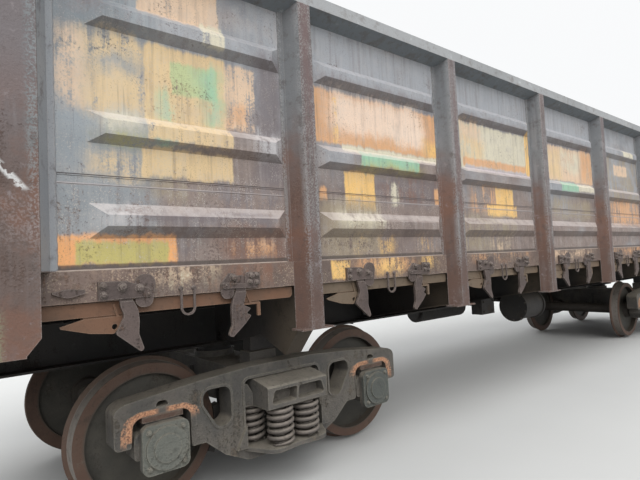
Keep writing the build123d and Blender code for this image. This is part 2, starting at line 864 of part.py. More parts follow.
def hatch():
    """One cover on the left side, its middle at x = 0: sheet, frame, ribs, hinge lugs and catch brackets."""
    half = hatch_length / 2
    y0 = hatch_inner_edge
    y1 = hatch_outer_edge
    under = hatch_z - hatch_sheet
    low = hatch_z - hatch_frame_depth
    frame_y0 = hinge_y + hatch_frame_from_hinge
    t = hatch_frame_wall
    parts = [block(-half, half, y0, y1, under, hatch_z)]
    radius = hatch_corner_radius
    rail = [(-half, under), (-half, low, radius), (half, low, radius), (half, under)]
    parts.append(prism_y(rail, y1 - t, y1))
    parts.append(block(-half, half, frame_y0, frame_y0 + t, low, under))
    for x0 in (-half, half - t):
        parts.append(block(x0, x0 + t, frame_y0, y1 - t, low + hatch_corner_radius, under))
    base = hatch_rib_base_half
    crest = hatch_rib_crest_half
    rib_z = under - hatch_rib_depth
    rib = [(-base, under), (-crest, rib_z), (crest, rib_z), (base, under)]
    hollow = [(-base + t, under), (-crest + t, rib_z + t), (crest - t, rib_z + t), (base - t, under)]
    for x in (-hinge_offset, 0.0, hinge_offset):
        shell = less(
            prism_y([(x + px, pz) for px, pz in rib], frame_y0, y1),
            prism_y([(x + px, pz) for px, pz in hollow], frame_y0 + t, y1 - t),
        )
        parts.append(shell)
    eye = hinge_pin_radius + 10
    cut = eye - 10
    lug = [
        (hinge_y - eye, hinge_z - cut), (hinge_y - cut, hinge_z - eye), (frame_y0 + 1, low + t / 2),
        (frame_y0 + 1, under), (hinge_y + t / 2, hinge_z + eye), (hinge_y - cut, hinge_z + eye),
        (hinge_y - eye, hinge_z + cut),
    ]
    lug_half = hinge_gap / 2 - 1
    reach = hinge_gap / 2 + hinge_ear + hinge_pin_end
    for x in (-hinge_offset, hinge_offset):
        parts.append(prism_x(lug, x - lug_half, x + lug_half))
        parts.append(rod_x(hinge_pin_radius, x - reach, x + reach, hinge_y, hinge_z))
    return joined(parts + hatch_brackets())


def hatches():
    cover = hatch()
    turned_cover = half_turn(cover)
    for i, x in enumerate(hatch_places):
        save(f"hatch_left_{i + 1}", [moved(cover, x=x)])
        save(f"hatch_right_{i + 1}", [moved(turned_cover, x=x)])


def at_each_hatch(shapes):
    """Copies of a hatch's fittings at every hatch of both sides, turned about on the right side."""
    copies = []
    for x in hatch_places:
        for shape in shapes:
            copies.append(moved(shape, x=x))
            copies.append(moved(half_turn(shape), x=x))
    return copies


def latch_plates():
    """Plates on the bottom chord that hold the hooks and the rotating catches, which lie behind them."""
    y0 = chord_outer
    y1 = y0 + catch_thickness + seat_gap
    y2 = y1 + chord_thickness
    z = chord_bottom_z
    long_parts = [prism_y(raised(long_plate, z), y1, y2), prism_y(raised(long_plate_foot, z), y0, y1)]
    short_parts = [
        prism_y(raised(short_plate, z), y1, y2), prism_y(raised(short_plate_foot, z), y0, y1),
        prism_y(raised(short_arm, z), y1, y2),
    ]
    catches = [prism_y(raised(outline, z), y0, y1 - seat_gap) for outline in (long_catch, short_catch)]
    save("latch_plates", at_each_hatch([joined(long_parts), joined(short_parts)] + catches))


def latch_hooks():
    """Hanging hooks that hold the hatches shut, thin behind their plates and thicker below."""
    y0 = chord_outer + seat_gap
    hooks = []
    for outline in (long_hook, short_hook):
        thin = prism_y(raised(outline, chord_bottom_z), y0, chord_outer + catch_thickness)
        thick = prism_y(raised(outline, chord_bottom_z), y0, chord_outer + hook_thickness)
        x0 = min(corner[0] for corner in outline)
        x1 = max(corner[0] for corner in outline)
        below = block(x0, x1, y0, chord_outer + hook_thickness, chord_bottom_z - 300, chord_bottom_z - 10)
        hooks.append(joined([thin, thick.intersect(below).solids()[0]]))
    save("latch_hooks", at_each_hatch(hooks))


def tie_fittings():
    """Tie loops under each hatch's middle and tie cleats beside the corner posts."""
    y0 = chord_outer
    outer = tie_loop_half + tie_rod / 2
    inner = tie_loop_half - tie_rod / 2
    top = tie_loop_rise
    low = -tie_loop_drop
    inner_low = low + tie_rod
    loop = [
        (-outer, top), (-outer, low, outer - 1), (outer, low, outer - 1), (outer, top), (inner, top),
        (inner, inner_low, inner - 1), (-inner, inner_low, inner - 1), (-inner, top),
    ]
    loops = at_each_hatch([prism_y(raised(loop, chord_bottom_z), y0, y0 + tie_rod)])
    leaf = prism_y(raised(cleat, chord_bottom_z), y0, y0 + cleat_thickness)
    save("tie_fittings", loops + both_ends(both_sides([moved(leaf, x=corner_x)])))


# Couplers, draft gear and brake


def couplers():
    """Automatic knuckleless coupler heads with their shanks."""
    x = coupling_x
    half = coupler_shank_half
    head_outline = [
        (-400, -half), (-330, -70), (-250, -200, 40), (-120, -262, 40), (-20, -262), (50, -240), (82, -205),
        (82, -160), (10, -132, 20), (-75, -118, 20), (-98, -60), (-60, -15), (0, 25), (70, 70),
        (110, 120, 20), (110, 185, 20), (70, 230), (-20, 252), (-120, 252, 40), (-250, 200, 40), (-330, 70),
        (-400, half),
    ]
    placed = [(x + corner[0], *corner[1:]) for corner in head_outline]
    head = prism_z(placed, coupler_z - coupler_head_half_height, coupler_z + coupler_head_half_height)
    shank = block(x - coupler_shank_length, x - 330, -half, half, coupler_z - half, coupler_z + half)
    one = joined([head, shank])
    save("couplers", [one, half_turn(one)])


def strikers():
    """Striker castings on the end beams, open for the coupler shank."""
    x0 = half_frame + fit_gap
    x1 = half_frame + striker_depth
    face_half = mouth_half_width + coupler_shank_half
    face_height = mouth_half_height + 40
    hole_half = mouth_half_width - 35
    hole_height = mouth_half_height - 40
    face = block(x0, x1, -face_half, face_half, coupler_z - face_height, coupler_z + face_height)
    hole = block(x0 - 1, x1 + 1, -hole_half, hole_half, coupler_z - hole_height, coupler_z + hole_height)
    save("strikers", both_ends([less(face, hole)]))


def draft_gears():
    """Draft gear blocks with their yokes between the sill webs."""
    x1 = coupling_x - coupler_shank_length - floor_skin_gap
    half = sill_web_half - sill_web - floor_skin_gap
    yoke = block(x1 - draft_gear_length, x1, -75, 75, coupler_z - 120, coupler_z + 120)
    case = block(x1 - draft_gear_length + 120, x1 - 200, -half, half, coupler_z - 100, coupler_z + 100)
    save("draft_gears", both_ends([joined([yoke, case])]))


def uncoupling_levers():
    """Bent rods at the ends that lift the coupler lock, each on two brackets."""
    x = half_frame + 90
    z = floor_z - 60
    r = lever_rod_radius
    inner_y = 250.0
    outer_y = inner_half_width - 139
    parts = [
        rod_y(r, x, inner_y, outer_y, z),
        rod_z(r, x, outer_y, z - 230, z),
        rod_x(r, x, coupling_x - 150, inner_y, z),
    ]
    for y in (500.0, outer_y - 130):
        parts.append(block(half_frame + fit_gap, x + 20, y, y + 12, z - 20, z + 20))
    one = joined(parts)
    save("uncoupling_levers", [one, half_turn(one)])


def brake_units():
    """Brake cylinder, air reservoir and valve, hung from the sill on brackets."""
    flange_z = sill_z - fit_gap
    low_z = flange_z - hanger_depth
    sill_edge = sill_web_half + hanger_lap
    y = cylinder_y
    z = sill_z - cylinder_below_sill
    rim = cylinder_radius + 20
    cylinder = [
        rod_x(cylinder_radius, 60, 540, y, z), rod_x(rim, 36, 60, y, z), rod_x(rim, 540, 564, y, z),
        rod_x(60, 564, 730, y, z), block(120, 480, y + 80, -sill_edge, low_z, flange_z),
    ]
    save("brake_cylinder", [joined(cylinder)])
    z = sill_z - reservoir_below_sill
    cap = reservoir_radius - 50
    tank = [
        rod_x(reservoir_radius, -900, 150, reservoir_y, z), rod_x(cap, -935, -900, reservoir_y, z),
        rod_x(cap, 150, 185, reservoir_y, z),
    ]
    for x in (-640, -60):
        tank.append(block(x, x + 80, sill_edge, reservoir_y - 70, low_z, flange_z))
    save("air_reservoir", [joined(tank)])
    valve = block(-640, -340, -470, -310, sill_z - 135, sill_z + 75)
    stem = block(-540, -440, -320, -sill_edge, low_z, flange_z)
    save("brake_valve", [joined([valve, stem])])


def brake_pipe():
    """Main air pipe beside the sill, through the beams, with a cock at each end."""
    r = brake_pipe_radius
    y = brake_pipe_y
    y_tip = y + pipe_end_shift
    z = brake_pipe_z
    end = half_frame - end_beam_depth / 2
    bend = end - 2 * r
    parts = [rod_x(r, -end, end, y, z)]
    half = [
        rod_y(r, bend, y, y_tip, z), rod_x(r, bend, half_frame + 200, y_tip, z),
        rod_x(r + 15, half_frame + 90, half_frame + 190, y_tip, z),
    ]
    save("brake_pipe", [joined(parts + both_ends(half))])


def brake_rods():
    """Pull rods under the sill, from the levers at the cylinder towards each bogie."""
    z = sill_z - pull_rod_drop
    reach = bogie_x - 760
    rods = [rod_x(pull_rod_radius, -reach, reach, 0, z)]
    strap_z = z + pull_rod_radius - 2
    for x in (-1000.0, 1000.0, -2600.0, 2600.0):
        hanger = joined([
            block(x - 6, x + 6, -40, 40, z - 30, strap_z + 6),
            block(x - 6, x + 6, -sill_web_half - 25, sill_web_half + 25, strap_z, sill_z - fit_gap),
        ])
        rods.append(less(hanger, rod_x(pull_rod_radius + seat_gap, x - 20, x + 20, 0, z)))
    save("brake_rods", rods)


def hand_brake():
    """Hand brake wheel on the left, on a shaft hung under a cross beam."""
    x = post_places[-2]
    y0 = chord_outer + 4
    z = rail_z + hand_wheel_over_rail
    rim = hand_wheel_radius
    reach = rim - 15
    parts = [
        less(rod_y(rim, x, y0, y0 + 26, z), rod_y(rim - 28, x, y0 - 1, y0 + 27, z)),
        block(x - reach, x + reach, y0 + 5, y0 + 21, z - 9, z + 9),
        block(x - 9, x + 9, y0 + 5, y0 + 21, z - reach, z + reach),
        rod_y(18, x, 700, y0 + 24, z),
    ]
    for y in (760.0, 1150.0):
        y_far = y + 10
        hanger = [
            (y, z - 40), (y_far, z - 40), (y_far, beam_bottom(y_far) - fit_gap),
            (y, beam_bottom(y) - fit_gap),
        ]
        parts.append(prism_x(hanger, x - 30, x + 30))
    save("hand_brake", [joined(parts)])


def centre_plates():
    """Round centre plates under the sill, which stand in the bowls of the bogies."""
    z = centre_plate_z
    collar_z = z + 60
    base_half = 200.0
    plates = []
    for x in (-bogie_x, bogie_x):
        disc = rod_z(centre_bowl_radius - 1.0, x, 0, z, collar_z)
        base = block(x - base_half, x + base_half, -base_half, base_half, collar_z, sill_z - fit_gap)
        plates.append(joined([disc, base]))
    save("centre_plates", plates)


def side_bearers():
    """Bearers under the bolster beams, just above those of the bogies."""
    y0 = side_bearer_y - side_bearer_half
    y1 = side_bearer_y + side_bearer_half
    z0 = bearer_top_z + bearer_gap
    outline = [
        (y0, z0), (y1, z0), (y1, bolster_underside(y1) - fit_gap), (y0, bolster_underside(y0) - fit_gap),
    ]
    shoes = [prism_x(outline, x - 100, x + 100) for x in (-bogie_x, bogie_x)]
    save("side_bearers", both_sides(shoes))


def end_steps():
    """Steps under the corner posts at two opposite corners."""
    x0 = half_frame - 330
    x1 = x0 + step_width
    y0 = -(post_outer - corner_post_wall - seat_gap)
    y1 = y0 + 50
    z0 = rail_z + step_over_rail
    parts = [
        block(x, x + step_rail, y0, y1, z0, corner_foot_z + 60) for x in (x0, x1 - step_rail)
    ]
    for z in (z0, z0 + step_pitch):
        parts.append(block(x0, x1, y0, y1, z, z + 10))
    one = joined(parts)
    save("end_steps", [one, half_turn(one)])


# Bogies, built round x = 0 and then placed


spring_grid = [(0, 0), (230, 0), (-230, 0), (115, 200), (-115, 200), (115, -200), (-115, -200)]


def springs():
    """Seven coil springs on one side, at the size of their outer coils."""
    z0 = spring_seat_z + seat_gap
    z1 = spring_top_z - seat_gap
    return [rod_z(spring_radius, x, spring_row_y + y, z0, z1) for x, y in spring_grid]


def spring_basket():
    """Shelf that the springs stand on, its edge following the coils, with ribs under its two lobes."""
    row = spring_grid[3]
    lobe = spring_radius + spring_shelf_lip
    x_lobe = row[0] + lobe
    y_lobe = row[1] + lobe
    waist = column_half + 10
    front = [
        (waist, 90), (x_lobe, y_lobe, lobe), (0, y_lobe - 30, 60), (-x_lobe, y_lobe, lobe), (-waist, 90),
    ]
    back = [(x, -y, *rest) for x, y, *rest in reversed(front)]
    plan = [(x, spring_row_y + y, *rest) for x, y, *rest in front + back]
    seat = spring_seat_z
    under = seat - spring_shelf
    parts = [prism_z(plan, under, seat)]
    toe = axle_z - frame_bottom_drop + 20
    rib = [(side_frame_outer, under), (spring_row_y + y_lobe - 30, under), (side_frame_outer, toe)]
    for x in (-row[0], row[0]):
        parts.append(prism_x(rib, x - 8, x + 8))
    return parts


def side_frame():
    """One cast side frame on the left: top member, struts, columns, spring seat and axle box jaws."""
    wx = wheel_x
    hi = centre_plate_z
    lo = axle_z
    seat = spring_seat_z
    roof = lo + jaw_roof_rise
    bottom = lo - frame_bottom_drop
    y0 = side_frame_inner
    y1 = side_frame_outer
    half = [
        (0, hi + 49), (275, hi + 49), (wx - 265, hi + 22), (wx + 225, hi - 31, 80), (wx + 295, hi - 61, 60),
        (wx + 295, lo + 25, 30), (wx + jaw_half + 10, lo + 25, 12), (wx + jaw_half, roof, 60),
        (wx - jaw_half, roof, 60), (wx - jaw_half - 5, lo - 65, 20), (wx - 290, lo - 65, 40),
        (wx - 430, lo - 185, 60), (column_half - 20, bottom, 80), (0, bottom),
    ]
    opening_top = hi - opening_top_drop
    opening = [
        (-column_half, seat), (column_half, seat), (column_half, opening_top, 40),
        (-column_half, opening_top, 40),
    ]
    window = [
        (wx - 273, hi - 48, 55), (wx - 479, hi - 48, 60), (wx - 481, lo + 22, 60), (wx - 378, lo + 14, 60),
        (wx - 273, lo + 185, 60),
    ]
    slot = [
        (wx - 38, roof + 43, 6), (wx - 38, roof + 78, 26), (wx + 38, roof + 78, 26), (wx + 38, roof + 43, 6),
    ]
    lip = 36.0
    jaw_lip = [
        (wx + jaw_half + 8, lo + 60), (wx + jaw_half, roof, 60), (wx - jaw_half, roof, 60),
        (wx - jaw_half - 4, lo + 60), (wx - jaw_half - lip - 4, lo + 60),
        (wx - jaw_half - lip, roof + lip, 95), (wx + jaw_half + lip, roof + lip, 95),
        (wx + jaw_half + lip + 8, lo + 60),
    ]
    gusset = [(column_half, seat + 150), (column_half + 80, seat - 5), (column_half, seat - 5)]
    whole = prism_y(mirrored(half), y0, y1)
    added = spring_basket() + [rim_y(opening, rim_width, y1, y1 + rim_proud)]
    tools = [prism_y(opening, y0 - 1, y1 + 1)]
    for turn in (1, -1):
        def placed(outline):
            return [(turn * corner[0], *corner[1:]) for corner in outline]
        tools.append(prism_y(placed(window), y0 - 1, y1 + 1))
        tools.append(prism_y(placed(slot), y0 - 1, y1 + 1))
        added.append(rim_y(placed(window), rim_width, y1, y1 + rim_proud))
        added.append(prism_y(placed(jaw_lip), y1, y1 + rim_proud / 2))
        added.append(prism_y(placed(gusset), y1, y1 + 30))
        plate = [
            (column_half, opening_top - 60), (column_half - column_wear_plate, opening_top - 60),
            (column_half - column_wear_plate, spring_top_z - 60), (column_half, spring_top_z - 60),
        ]
        added.append(prism_y(placed(plate), y0 + 18, y1 - 18))
    return joined([less(whole, *tools)] + added)


def bogie_bolster():
    """Cast bolster: deep in the middle under the centre bowl, wider over the springs, with open ends."""
    end = bolster_half_length
    hi = centre_plate_z
    low = spring_top_z
    side = [
        (0, hi - 25), (600, hi - 25), (880, hi - 41), (side_frame_outer, hi - 43), (end - 14, hi - 75),
        (end, hi - 85), (end, low + 6), (end - 6, low), (700, low), (560, hi - 311), (300, hi - 331),
        (0, hi - 331),
    ]
    wide = bolster_half_width
    waist = bolster_waist_half
    quarter = [(waist, 560), (wide, 900), (wide, end)]
    front = quarter + [(-x, y) for x, y in reversed(quarter)]
    plan = front + [(x, -y) for x, y in reversed(front)]
    body = prism_x(mirrored(side), -wide, wide).intersect(prism_z(plan, hi - 400, hi + 100)).solids()[0]
    bowl = rod_z(centre_bowl_radius + centre_bowl_wall, 0, 0, hi - 31, hi + centre_bowl_rise)
    recess = rod_z(centre_bowl_radius, 0, 0, hi - seat_gap, hi + 40)
    bearer = side_bearer_half + 15
    bearer_box = block(-120, 120, side_bearer_y - bearer, side_bearer_y + bearer, hi - 51, bearer_top_z)
    pockets = [
        [(-232, low + 32, 22), (-22, low + 32, 18), (-6, low + 128, 18), (-205, low + 128, 30)],
        [(-8, low + 32, 18), (238, low + 32, 22), (212, low + 128, 30), (8, low + 128, 18)],
    ]
    cuts = [recess] + both_sides([prism_y(pocket, end - 90, end + 10) for pocket in pockets])
    return less(joined([body, bowl] + both_sides([bearer_box])), *cuts)


def wedges():
    """Friction wedges that stand on the outer springs, between the bolster and the columns."""
    x0 = bolster_half_width + seat_gap
    x1 = column_half - column_wear_plate - seat_gap
    z0 = spring_top_z + seat_gap
    z1 = centre_plate_z - 71
    outline = [(x0, z0), (x1, z0), (x1, z1, 10), (x1 - 28, z1, 10), (x0, z1 - 70)]
    wedge = prism_y(outline, side_frame_inner + 8, side_frame_outer - 8)
    return both_ends([wedge])


def axle_box():
    """Axle box on the left at x = 0: round housing, guide lugs, adapter and bolted cover."""
    z = axle_z
    y0 = axle_box_inner
    y1 = axle_box_outer
    cover_y = y1 + 22
    ring_y = cover_y + 18
    lug = jaw_half - jaw_clearance
    lug_outline = [(-lug, z - 60, 20), (lug, z - 60, 20), (lug, z + 100, 40), (-lug, z + 100, 40)]
    adapter_z = z + jaw_roof_rise - 35
    roof = z + jaw_roof_rise - seat_gap
    k = axle_box_radius
    square = [(-k, z - k, 50), (k, z - k, 50), (k, z + k, 50), (-k, z + k, 50)]
    parts = [
        rod_y(k, 0, y0, y1, z),
        prism_y(lug_outline, side_frame_inner, side_frame_outer),
        block(-110, 110, side_frame_inner, side_frame_outer, z, adapter_z),
        block(-130, 130, side_frame_inner - 6, side_frame_outer + 12, adapter_z, roof),
        prism_y(square, y1 - 30, cover_y),
        rod_y(132, 0, cover_y, ring_y, z),
        rod_y(86, 0, ring_y, ring_y + 10, z),
    ]
    bore = rod_y(journal_radius + seat_gap, 0, y0 - 1, axle_half_length + 3, z)
    return less(joined(parts), bore)


def brake_gear():
    """Brake beam with its shoes, hangers and lever, for one wheelset of a bogie at high X."""
    z = axle_z
    inner_r = tread_radius + brake_shoe_gap
    outer_r = inner_r + brake_shoe_depth
    beam_x = wheel_x - outer_r - 30
    beam_z = z - 60
    pin_x = column_half + hanger_pin_inset
    pin_z = z + 165
    y0 = wheel_inner_y + 40
    y1 = wheel_inner_y + wheel_width - 10
    ring = less(rod_y(outer_r, wheel_x, y0, y1, z), rod_y(inner_r, wheel_x, y0 - 1, y1 + 1, z))
    sector = [(wheel_x, z - 60), (wheel_x - 700, z - 340), (wheel_x - 700, z + 140)]
    shoe = ring.intersect(prism_y(sector, y0 - 1, y1 + 1)).solids()[0]
    hanger = [
        (beam_x - 16, beam_z + 50), (beam_x + 16, beam_z + 50), (pin_x + 16, pin_z + 20),
        (pin_x - 16, pin_z + 20),
    ]
    one_side = [
        shoe,
        block(beam_x - 25, beam_x + 42, y0 + 10, y1 - 10, beam_z - 60, beam_z + 60),
        prism_y(hanger, y0 + 20, y1 - 20),
        rod_y(lever_rod_radius + 3, pin_x, y0 + 20, side_frame_inner - seat_gap, pin_z),
    ]
    lever_x = bolster_waist_half + 16
    middle = [
        rod_y(26, beam_x, -y1 + 12, y1 - 12, beam_z),
        block(lever_x, beam_x, -14, 14, beam_z - 40, beam_z + 40),
        block(lever_x, lever_x + 40, -14, 14, beam_z - 85, beam_z + 295),
    ]
    return joined(middle + both_sides(one_side))


def bogies():
    frames = both_sides([side_frame()])
    boxes = both_ends(both_sides([moved(axle_box(), x=wheel_x)]))
    spring_set = both_sides(springs())
    wedge_set = both_sides(wedges())
    bolster = bogie_bolster()
    gear = both_ends([brake_gear()])
    for number, x in ((1, -bogie_x), (2, bogie_x)):
        save(f"bogie_{number}_side_frames", [moved(s, x=x) for s in frames])
        save(f"bogie_{number}_springs", [moved(s, x=x) for s in spring_set])
        save(f"bogie_{number}_wedges", [moved(s, x=x) for s in wedge_set])
        save(f"bogie_{number}_bolster", [moved(bolster, x=x)])
        save(f"bogie_{number}_axle_boxes", [moved(s, x=x) for s in boxes])
        save(f"bogie_{number}_brake_gear", [moved(s, x=x) for s in gear])


def wheelset():
    """Axle and its two wheels with dished webs, all at x = 0."""
    y0 = wheel_inner_y
    y1 = wheel_inner_y + wheel_width
    rim = tread_radius - rim_depth
    bore = wheel_seat_radius + wheel_press_gap
    wheel = [
        (bore, hub_inner_y), (hub_radius, hub_inner_y), (hub_radius + 10, y0 + 25), (rim, y0 + 38),
        (rim, y0), (flange_radius - 8, y0), (flange_radius, y0 + 14), (tread_radius + 3, y0 + 34),
        (tread_radius - 5, y1), (rim, y1), (rim, y0 + 62), (hub_radius + 15, y0 + 95),
        (hub_radius, hub_outer_y), (bore, hub_outer_y),
    ]
    shoulder = hub_outer_y + 3
    half = [
        (axle_radius, hub_inner_y - 60), (wheel_seat_radius, hub_inner_y - 40), (wheel_seat_radius, shoulder),
        (axle_radius, shoulder), (axle_radius, axle_box_inner - 7), (journal_radius, axle_box_inner),
        (journal_radius, axle_half_length),
    ]
    axle = [(0, -axle_half_length)] + [(r, -y) for r, y in reversed(half)] + half + [(0, axle_half_length)]
    one = turned(wheel)
    return [moved(s, z=axle_z) for s in (turned(axle), one, flip_y(one))]


def wheelsets():
    one = wheelset()
    places = [-bogie_x - wheel_x, -bogie_x + wheel_x, bogie_x - wheel_x, bogie_x + wheel_x]
    for i, x in enumerate(places):
        save(f"wheelset_{i + 1}", [moved(s, x=x) for s in one])


def build():
    centre_sill()
    cross_beams()
    bolster_beams()
    end_beams()
    end_floors()
    side_sheets()
    side_posts()
    bottom_chords()
    top_chords()
    end_walls()
    end_posts()
    corner_posts()
    hinge_brackets()
    hatches()
    latch_plates()
    latch_hooks()
    tie_fittings()
    couplers()
    strikers()
    draft_gears()
    uncoupling_levers()
    brake_units()
    brake_pipe()
    brake_rods()
    hand_brake()
    centre_plates()
    side_bearers()
    end_steps()
    bogies()
    wheelsets()


build()
os.makedirs("parts", exist_ok=True)
for node_name, node_shape in nodes.items():
    export_step(node_shape, f"parts/{node_name}.step")
print(len(nodes), "nodes,", sum(len(s.solids()) for s in nodes.values()), "solids")
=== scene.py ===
import json
import math

import bmesh
import bpy
from mathutils import Matrix, Vector


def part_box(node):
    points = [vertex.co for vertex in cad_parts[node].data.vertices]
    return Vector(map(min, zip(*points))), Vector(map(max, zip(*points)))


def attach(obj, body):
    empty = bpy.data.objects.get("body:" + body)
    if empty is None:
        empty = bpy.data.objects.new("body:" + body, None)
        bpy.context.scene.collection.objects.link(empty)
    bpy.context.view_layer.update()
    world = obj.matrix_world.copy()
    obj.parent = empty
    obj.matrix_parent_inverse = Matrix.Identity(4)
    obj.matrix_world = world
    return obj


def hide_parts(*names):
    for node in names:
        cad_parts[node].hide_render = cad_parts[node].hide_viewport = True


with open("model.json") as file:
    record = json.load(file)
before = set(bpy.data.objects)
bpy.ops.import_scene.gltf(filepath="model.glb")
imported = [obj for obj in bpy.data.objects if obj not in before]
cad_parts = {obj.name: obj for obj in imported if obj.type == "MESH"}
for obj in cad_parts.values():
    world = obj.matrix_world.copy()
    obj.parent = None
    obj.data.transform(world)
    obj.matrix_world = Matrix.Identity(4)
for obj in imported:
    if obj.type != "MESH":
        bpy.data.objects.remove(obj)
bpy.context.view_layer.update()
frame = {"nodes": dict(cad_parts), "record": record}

# Looks of an open railway gondola, in metres, in the frame of the part: X along the wagon, Y across, Z up.
# The right side, at low Y, is the one in the photograph.

nodes = frame["nodes"]

# Places worked out from the frame
SIDES = (1, -1)
HATCHES = 7
SIDE_POSTS = 6
HATCH_BOXES = [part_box(f"hatch_left_{i + 1}") for i in range(HATCHES)]
HATCH_PLACES = [(low.x + high.x) / 2 for low, high in HATCH_BOXES]
POST_PITCH = HATCH_PLACES[4] - HATCH_PLACES[3]
POST_PLACES = [(i - (SIDE_POSTS - 1) / 2) * POST_PITCH for i in range(SIDE_POSTS)]
CHORD_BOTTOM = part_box("bottom_chords")[0].z
CHORD_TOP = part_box("bottom_chords")[1].z
CHORD_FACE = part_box("bottom_chords")[1].y
PLATE_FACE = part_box("latch_plates")[1].y
TOP_CHORD_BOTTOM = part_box("top_chords")[0].z
POST_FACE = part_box("side_posts")[1].y
CORNER_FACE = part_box("corner_posts")[1].x
WHEEL_PLACES = [(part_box(f"wheelset_{i}")[0].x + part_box(f"wheelset_{i}")[1].x) / 2 for i in range(1, 5)]
AXLE_HEIGHT = (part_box("wheelset_1")[0].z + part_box("wheelset_1")[1].z) / 2

# Sizes of the CAD pieces that their boxes in the frame don't give
CHORD_THICKNESS = 0.01
CATCH_THICKNESS = 0.012
COVER_NOSE = 0.028
SIDE_FRAME_FACE = 1.103
SHEET_FACE = CHORD_FACE - CHORD_THICKNESS
CATCH_FACE = CHORD_FACE + CATCH_THICKNESS
COVER_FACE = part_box("bogie_1_axle_boxes")[1].y - COVER_NOSE
POST_FACE_HALF = 0.053
POST_FLANGE_HALF = 0.148
SEAM_HEIGHT = 2.112
SEAM_LAP = 0.044
# Where the wide face of a corner post starts, and where its flange does
CORNER_EDGE = CORNER_FACE - 0.369
CORNER_FLANGE = CORNER_FACE - 0.46
# Posts past the first of these places stand at corners and ends, and sheets past the second are end walls
CORNER_START = 5.8
END_WALL_START = 6.25


def srgb(red, green, blue):
    """Scene colour from a colour as it looks on a screen, 0 to 255."""
    def linear(value):
        share = value / 255
        return share / 12.92 if share <= 0.04045 else ((share + 0.055) / 1.055) ** 2.4
    return (linear(red), linear(green), linear(blue), 1.0)


class Coat:
    """A node material in the making, with its colour so far. Most methods return a new node's output."""

    def __init__(self, name):
        self.material = bpy.data.materials.new(name)
        self.material.use_nodes = True
        self.tree = self.material.node_tree
        self.tree.nodes.clear()
        self.place = self.add("TexCoord").outputs["Object"]
        self.x, self.y, self.z = self.split(self.place)
        self.normal = self.add("NewGeometry").outputs["Normal"]
        self.nx, self.ny, self.nz = self.split(self.normal)
        self.colour = None

    def add(self, kind):
        return self.tree.nodes.new("ShaderNode" + kind)

    def feed(self, node, index, value):
        if isinstance(value, bpy.types.NodeSocket):
            self.tree.links.new(value, node.inputs[index])
        elif value is not None:
            node.inputs[index].default_value = value

    def split(self, vector):
        node = self.add("SeparateXYZ")
        self.feed(node, 0, vector)
        return node.outputs

    def math(self, operation, a, b=None):
        node = self.add("Math")
        node.operation = operation
        self.feed(node, 0, a)
        self.feed(node, 1, b)
        return node.outputs[0]

    def vector(self, operation, a, b=None):
        node = self.add("VectorMath")
        node.operation = operation
        self.feed(node, 0, a)
        self.feed(node, 1, b)
        return node.outputs["Value" if operation == "DOT_PRODUCT" else "Vector"]

    def noise(self, scale, detail=3.0, rough=0.55, stretch=(1, 1, 1), shift=0.0, colour=False):
        """Noise with this many cells to a metre. A small stretch in an axis draws it out along it."""
        place = self.vector("MULTIPLY", self.place, stretch)
        if shift:
            place = self.vector("ADD", place, (shift, shift * 1.7, shift * 0.6))
        node = self.add("TexNoise")
        self.feed(node, "Vector", place)
        node.inputs["Scale"].default_value = scale
        node.inputs["Detail"].default_value = detail
        node.inputs["Roughness"].default_value = rough
        return node.outputs["Color" if colour else "Fac"]

    def ramp(self, value, low, high, to_low=0.0, to_high=1.0):
        """Smooth step from to_low at low to to_high at high."""
        node = self.add("MapRange")
        node.interpolation_type = "SMOOTHSTEP"
        for i, number in enumerate((value, low, high, to_low, to_high)):
            self.feed(node, i, number)
        return node.outputs[0]

    def mix(self, share, a, b):
        node = self.add("Mix")
        node.data_type = "RGBA"
        self.feed(node, 0, share)
        self.feed(node, 6, a)
        self.feed(node, 7, b)
        return node.outputs[2]

    def times(self, *values):
        result = values[0]
        for value in values[1:]:
            result = self.math("MULTIPLY", result, value)
        return result

    def sum(self, *values):
        result = values[0]
        for value in values[1:]:
            result = self.math("ADD", result, value)
        return result

    def minus(self, a, b):
        return self.math("SUBTRACT", a, b)

    def size(self, value):
        return self.math("ABSOLUTE", value)

    def most(self, a, b):
        return self.math("MAXIMUM", a, b)

    def swing(self, value, amount):
        """A value between 0 and 1, moved to lie around nothing and made this many times as large."""
        return self.times(self.minus(value, 0.5), amount)

    def weighed(self, *pairs):
        """Sum of values, each followed by its weight."""
        return self.sum(*(self.times(value, weight) for value, weight in zip(pairs[::2], pairs[1::2])))

    def lay(self, tint, *shares):
        """Lays a tint over the colour so far, by the product of the shares."""
        self.colour = self.mix(self.times(*shares), self.colour, tint)

    def band(self, value, low, high, edge):
        """One between low and high, falling to nothing over edge outside them."""
        return self.times(self.ramp(value, low - edge, low), self.ramp(value, high, high + edge, 1.0, 0.0))

    def soft_inside(self, value, low, high, edge):
        """One between low and high, fading over edge on each side of both."""
        away = self.size(self.minus(value, (low + high) / 2))
        return self.ramp(away, (high - low) / 2 + edge, (high - low) / 2 - edge)

    def edges(self, radius):
        """One along the sharp edges of the shape, out to about this radius."""
        bevel = self.add("Bevel")
        bevel.samples = 3
        bevel.inputs["Radius"].default_value = radius
        alike = self.vector("DOT_PRODUCT", bevel.outputs[0], self.normal)
        return self.ramp(alike, 0.985, 0.90)

    def bump(self, height, distance, below=None):
        node = self.add("Bump")
        node.inputs["Distance"].default_value = distance
        self.feed(node, "Height", height)
        self.feed(node, "Normal", below)
        return node.outputs[0]

    def close(self, rough, normal=None):
        shader = self.add("BsdfPrincipled")
        self.feed(shader, "Base Color", self.colour)
        self.feed(shader, "Roughness", rough)
        self.feed(shader, "Normal", normal)
        out = self.add("OutputMaterial")
        self.tree.links.new(shader.outputs[0], out.inputs[0])
        return self.material


# Camera and studio

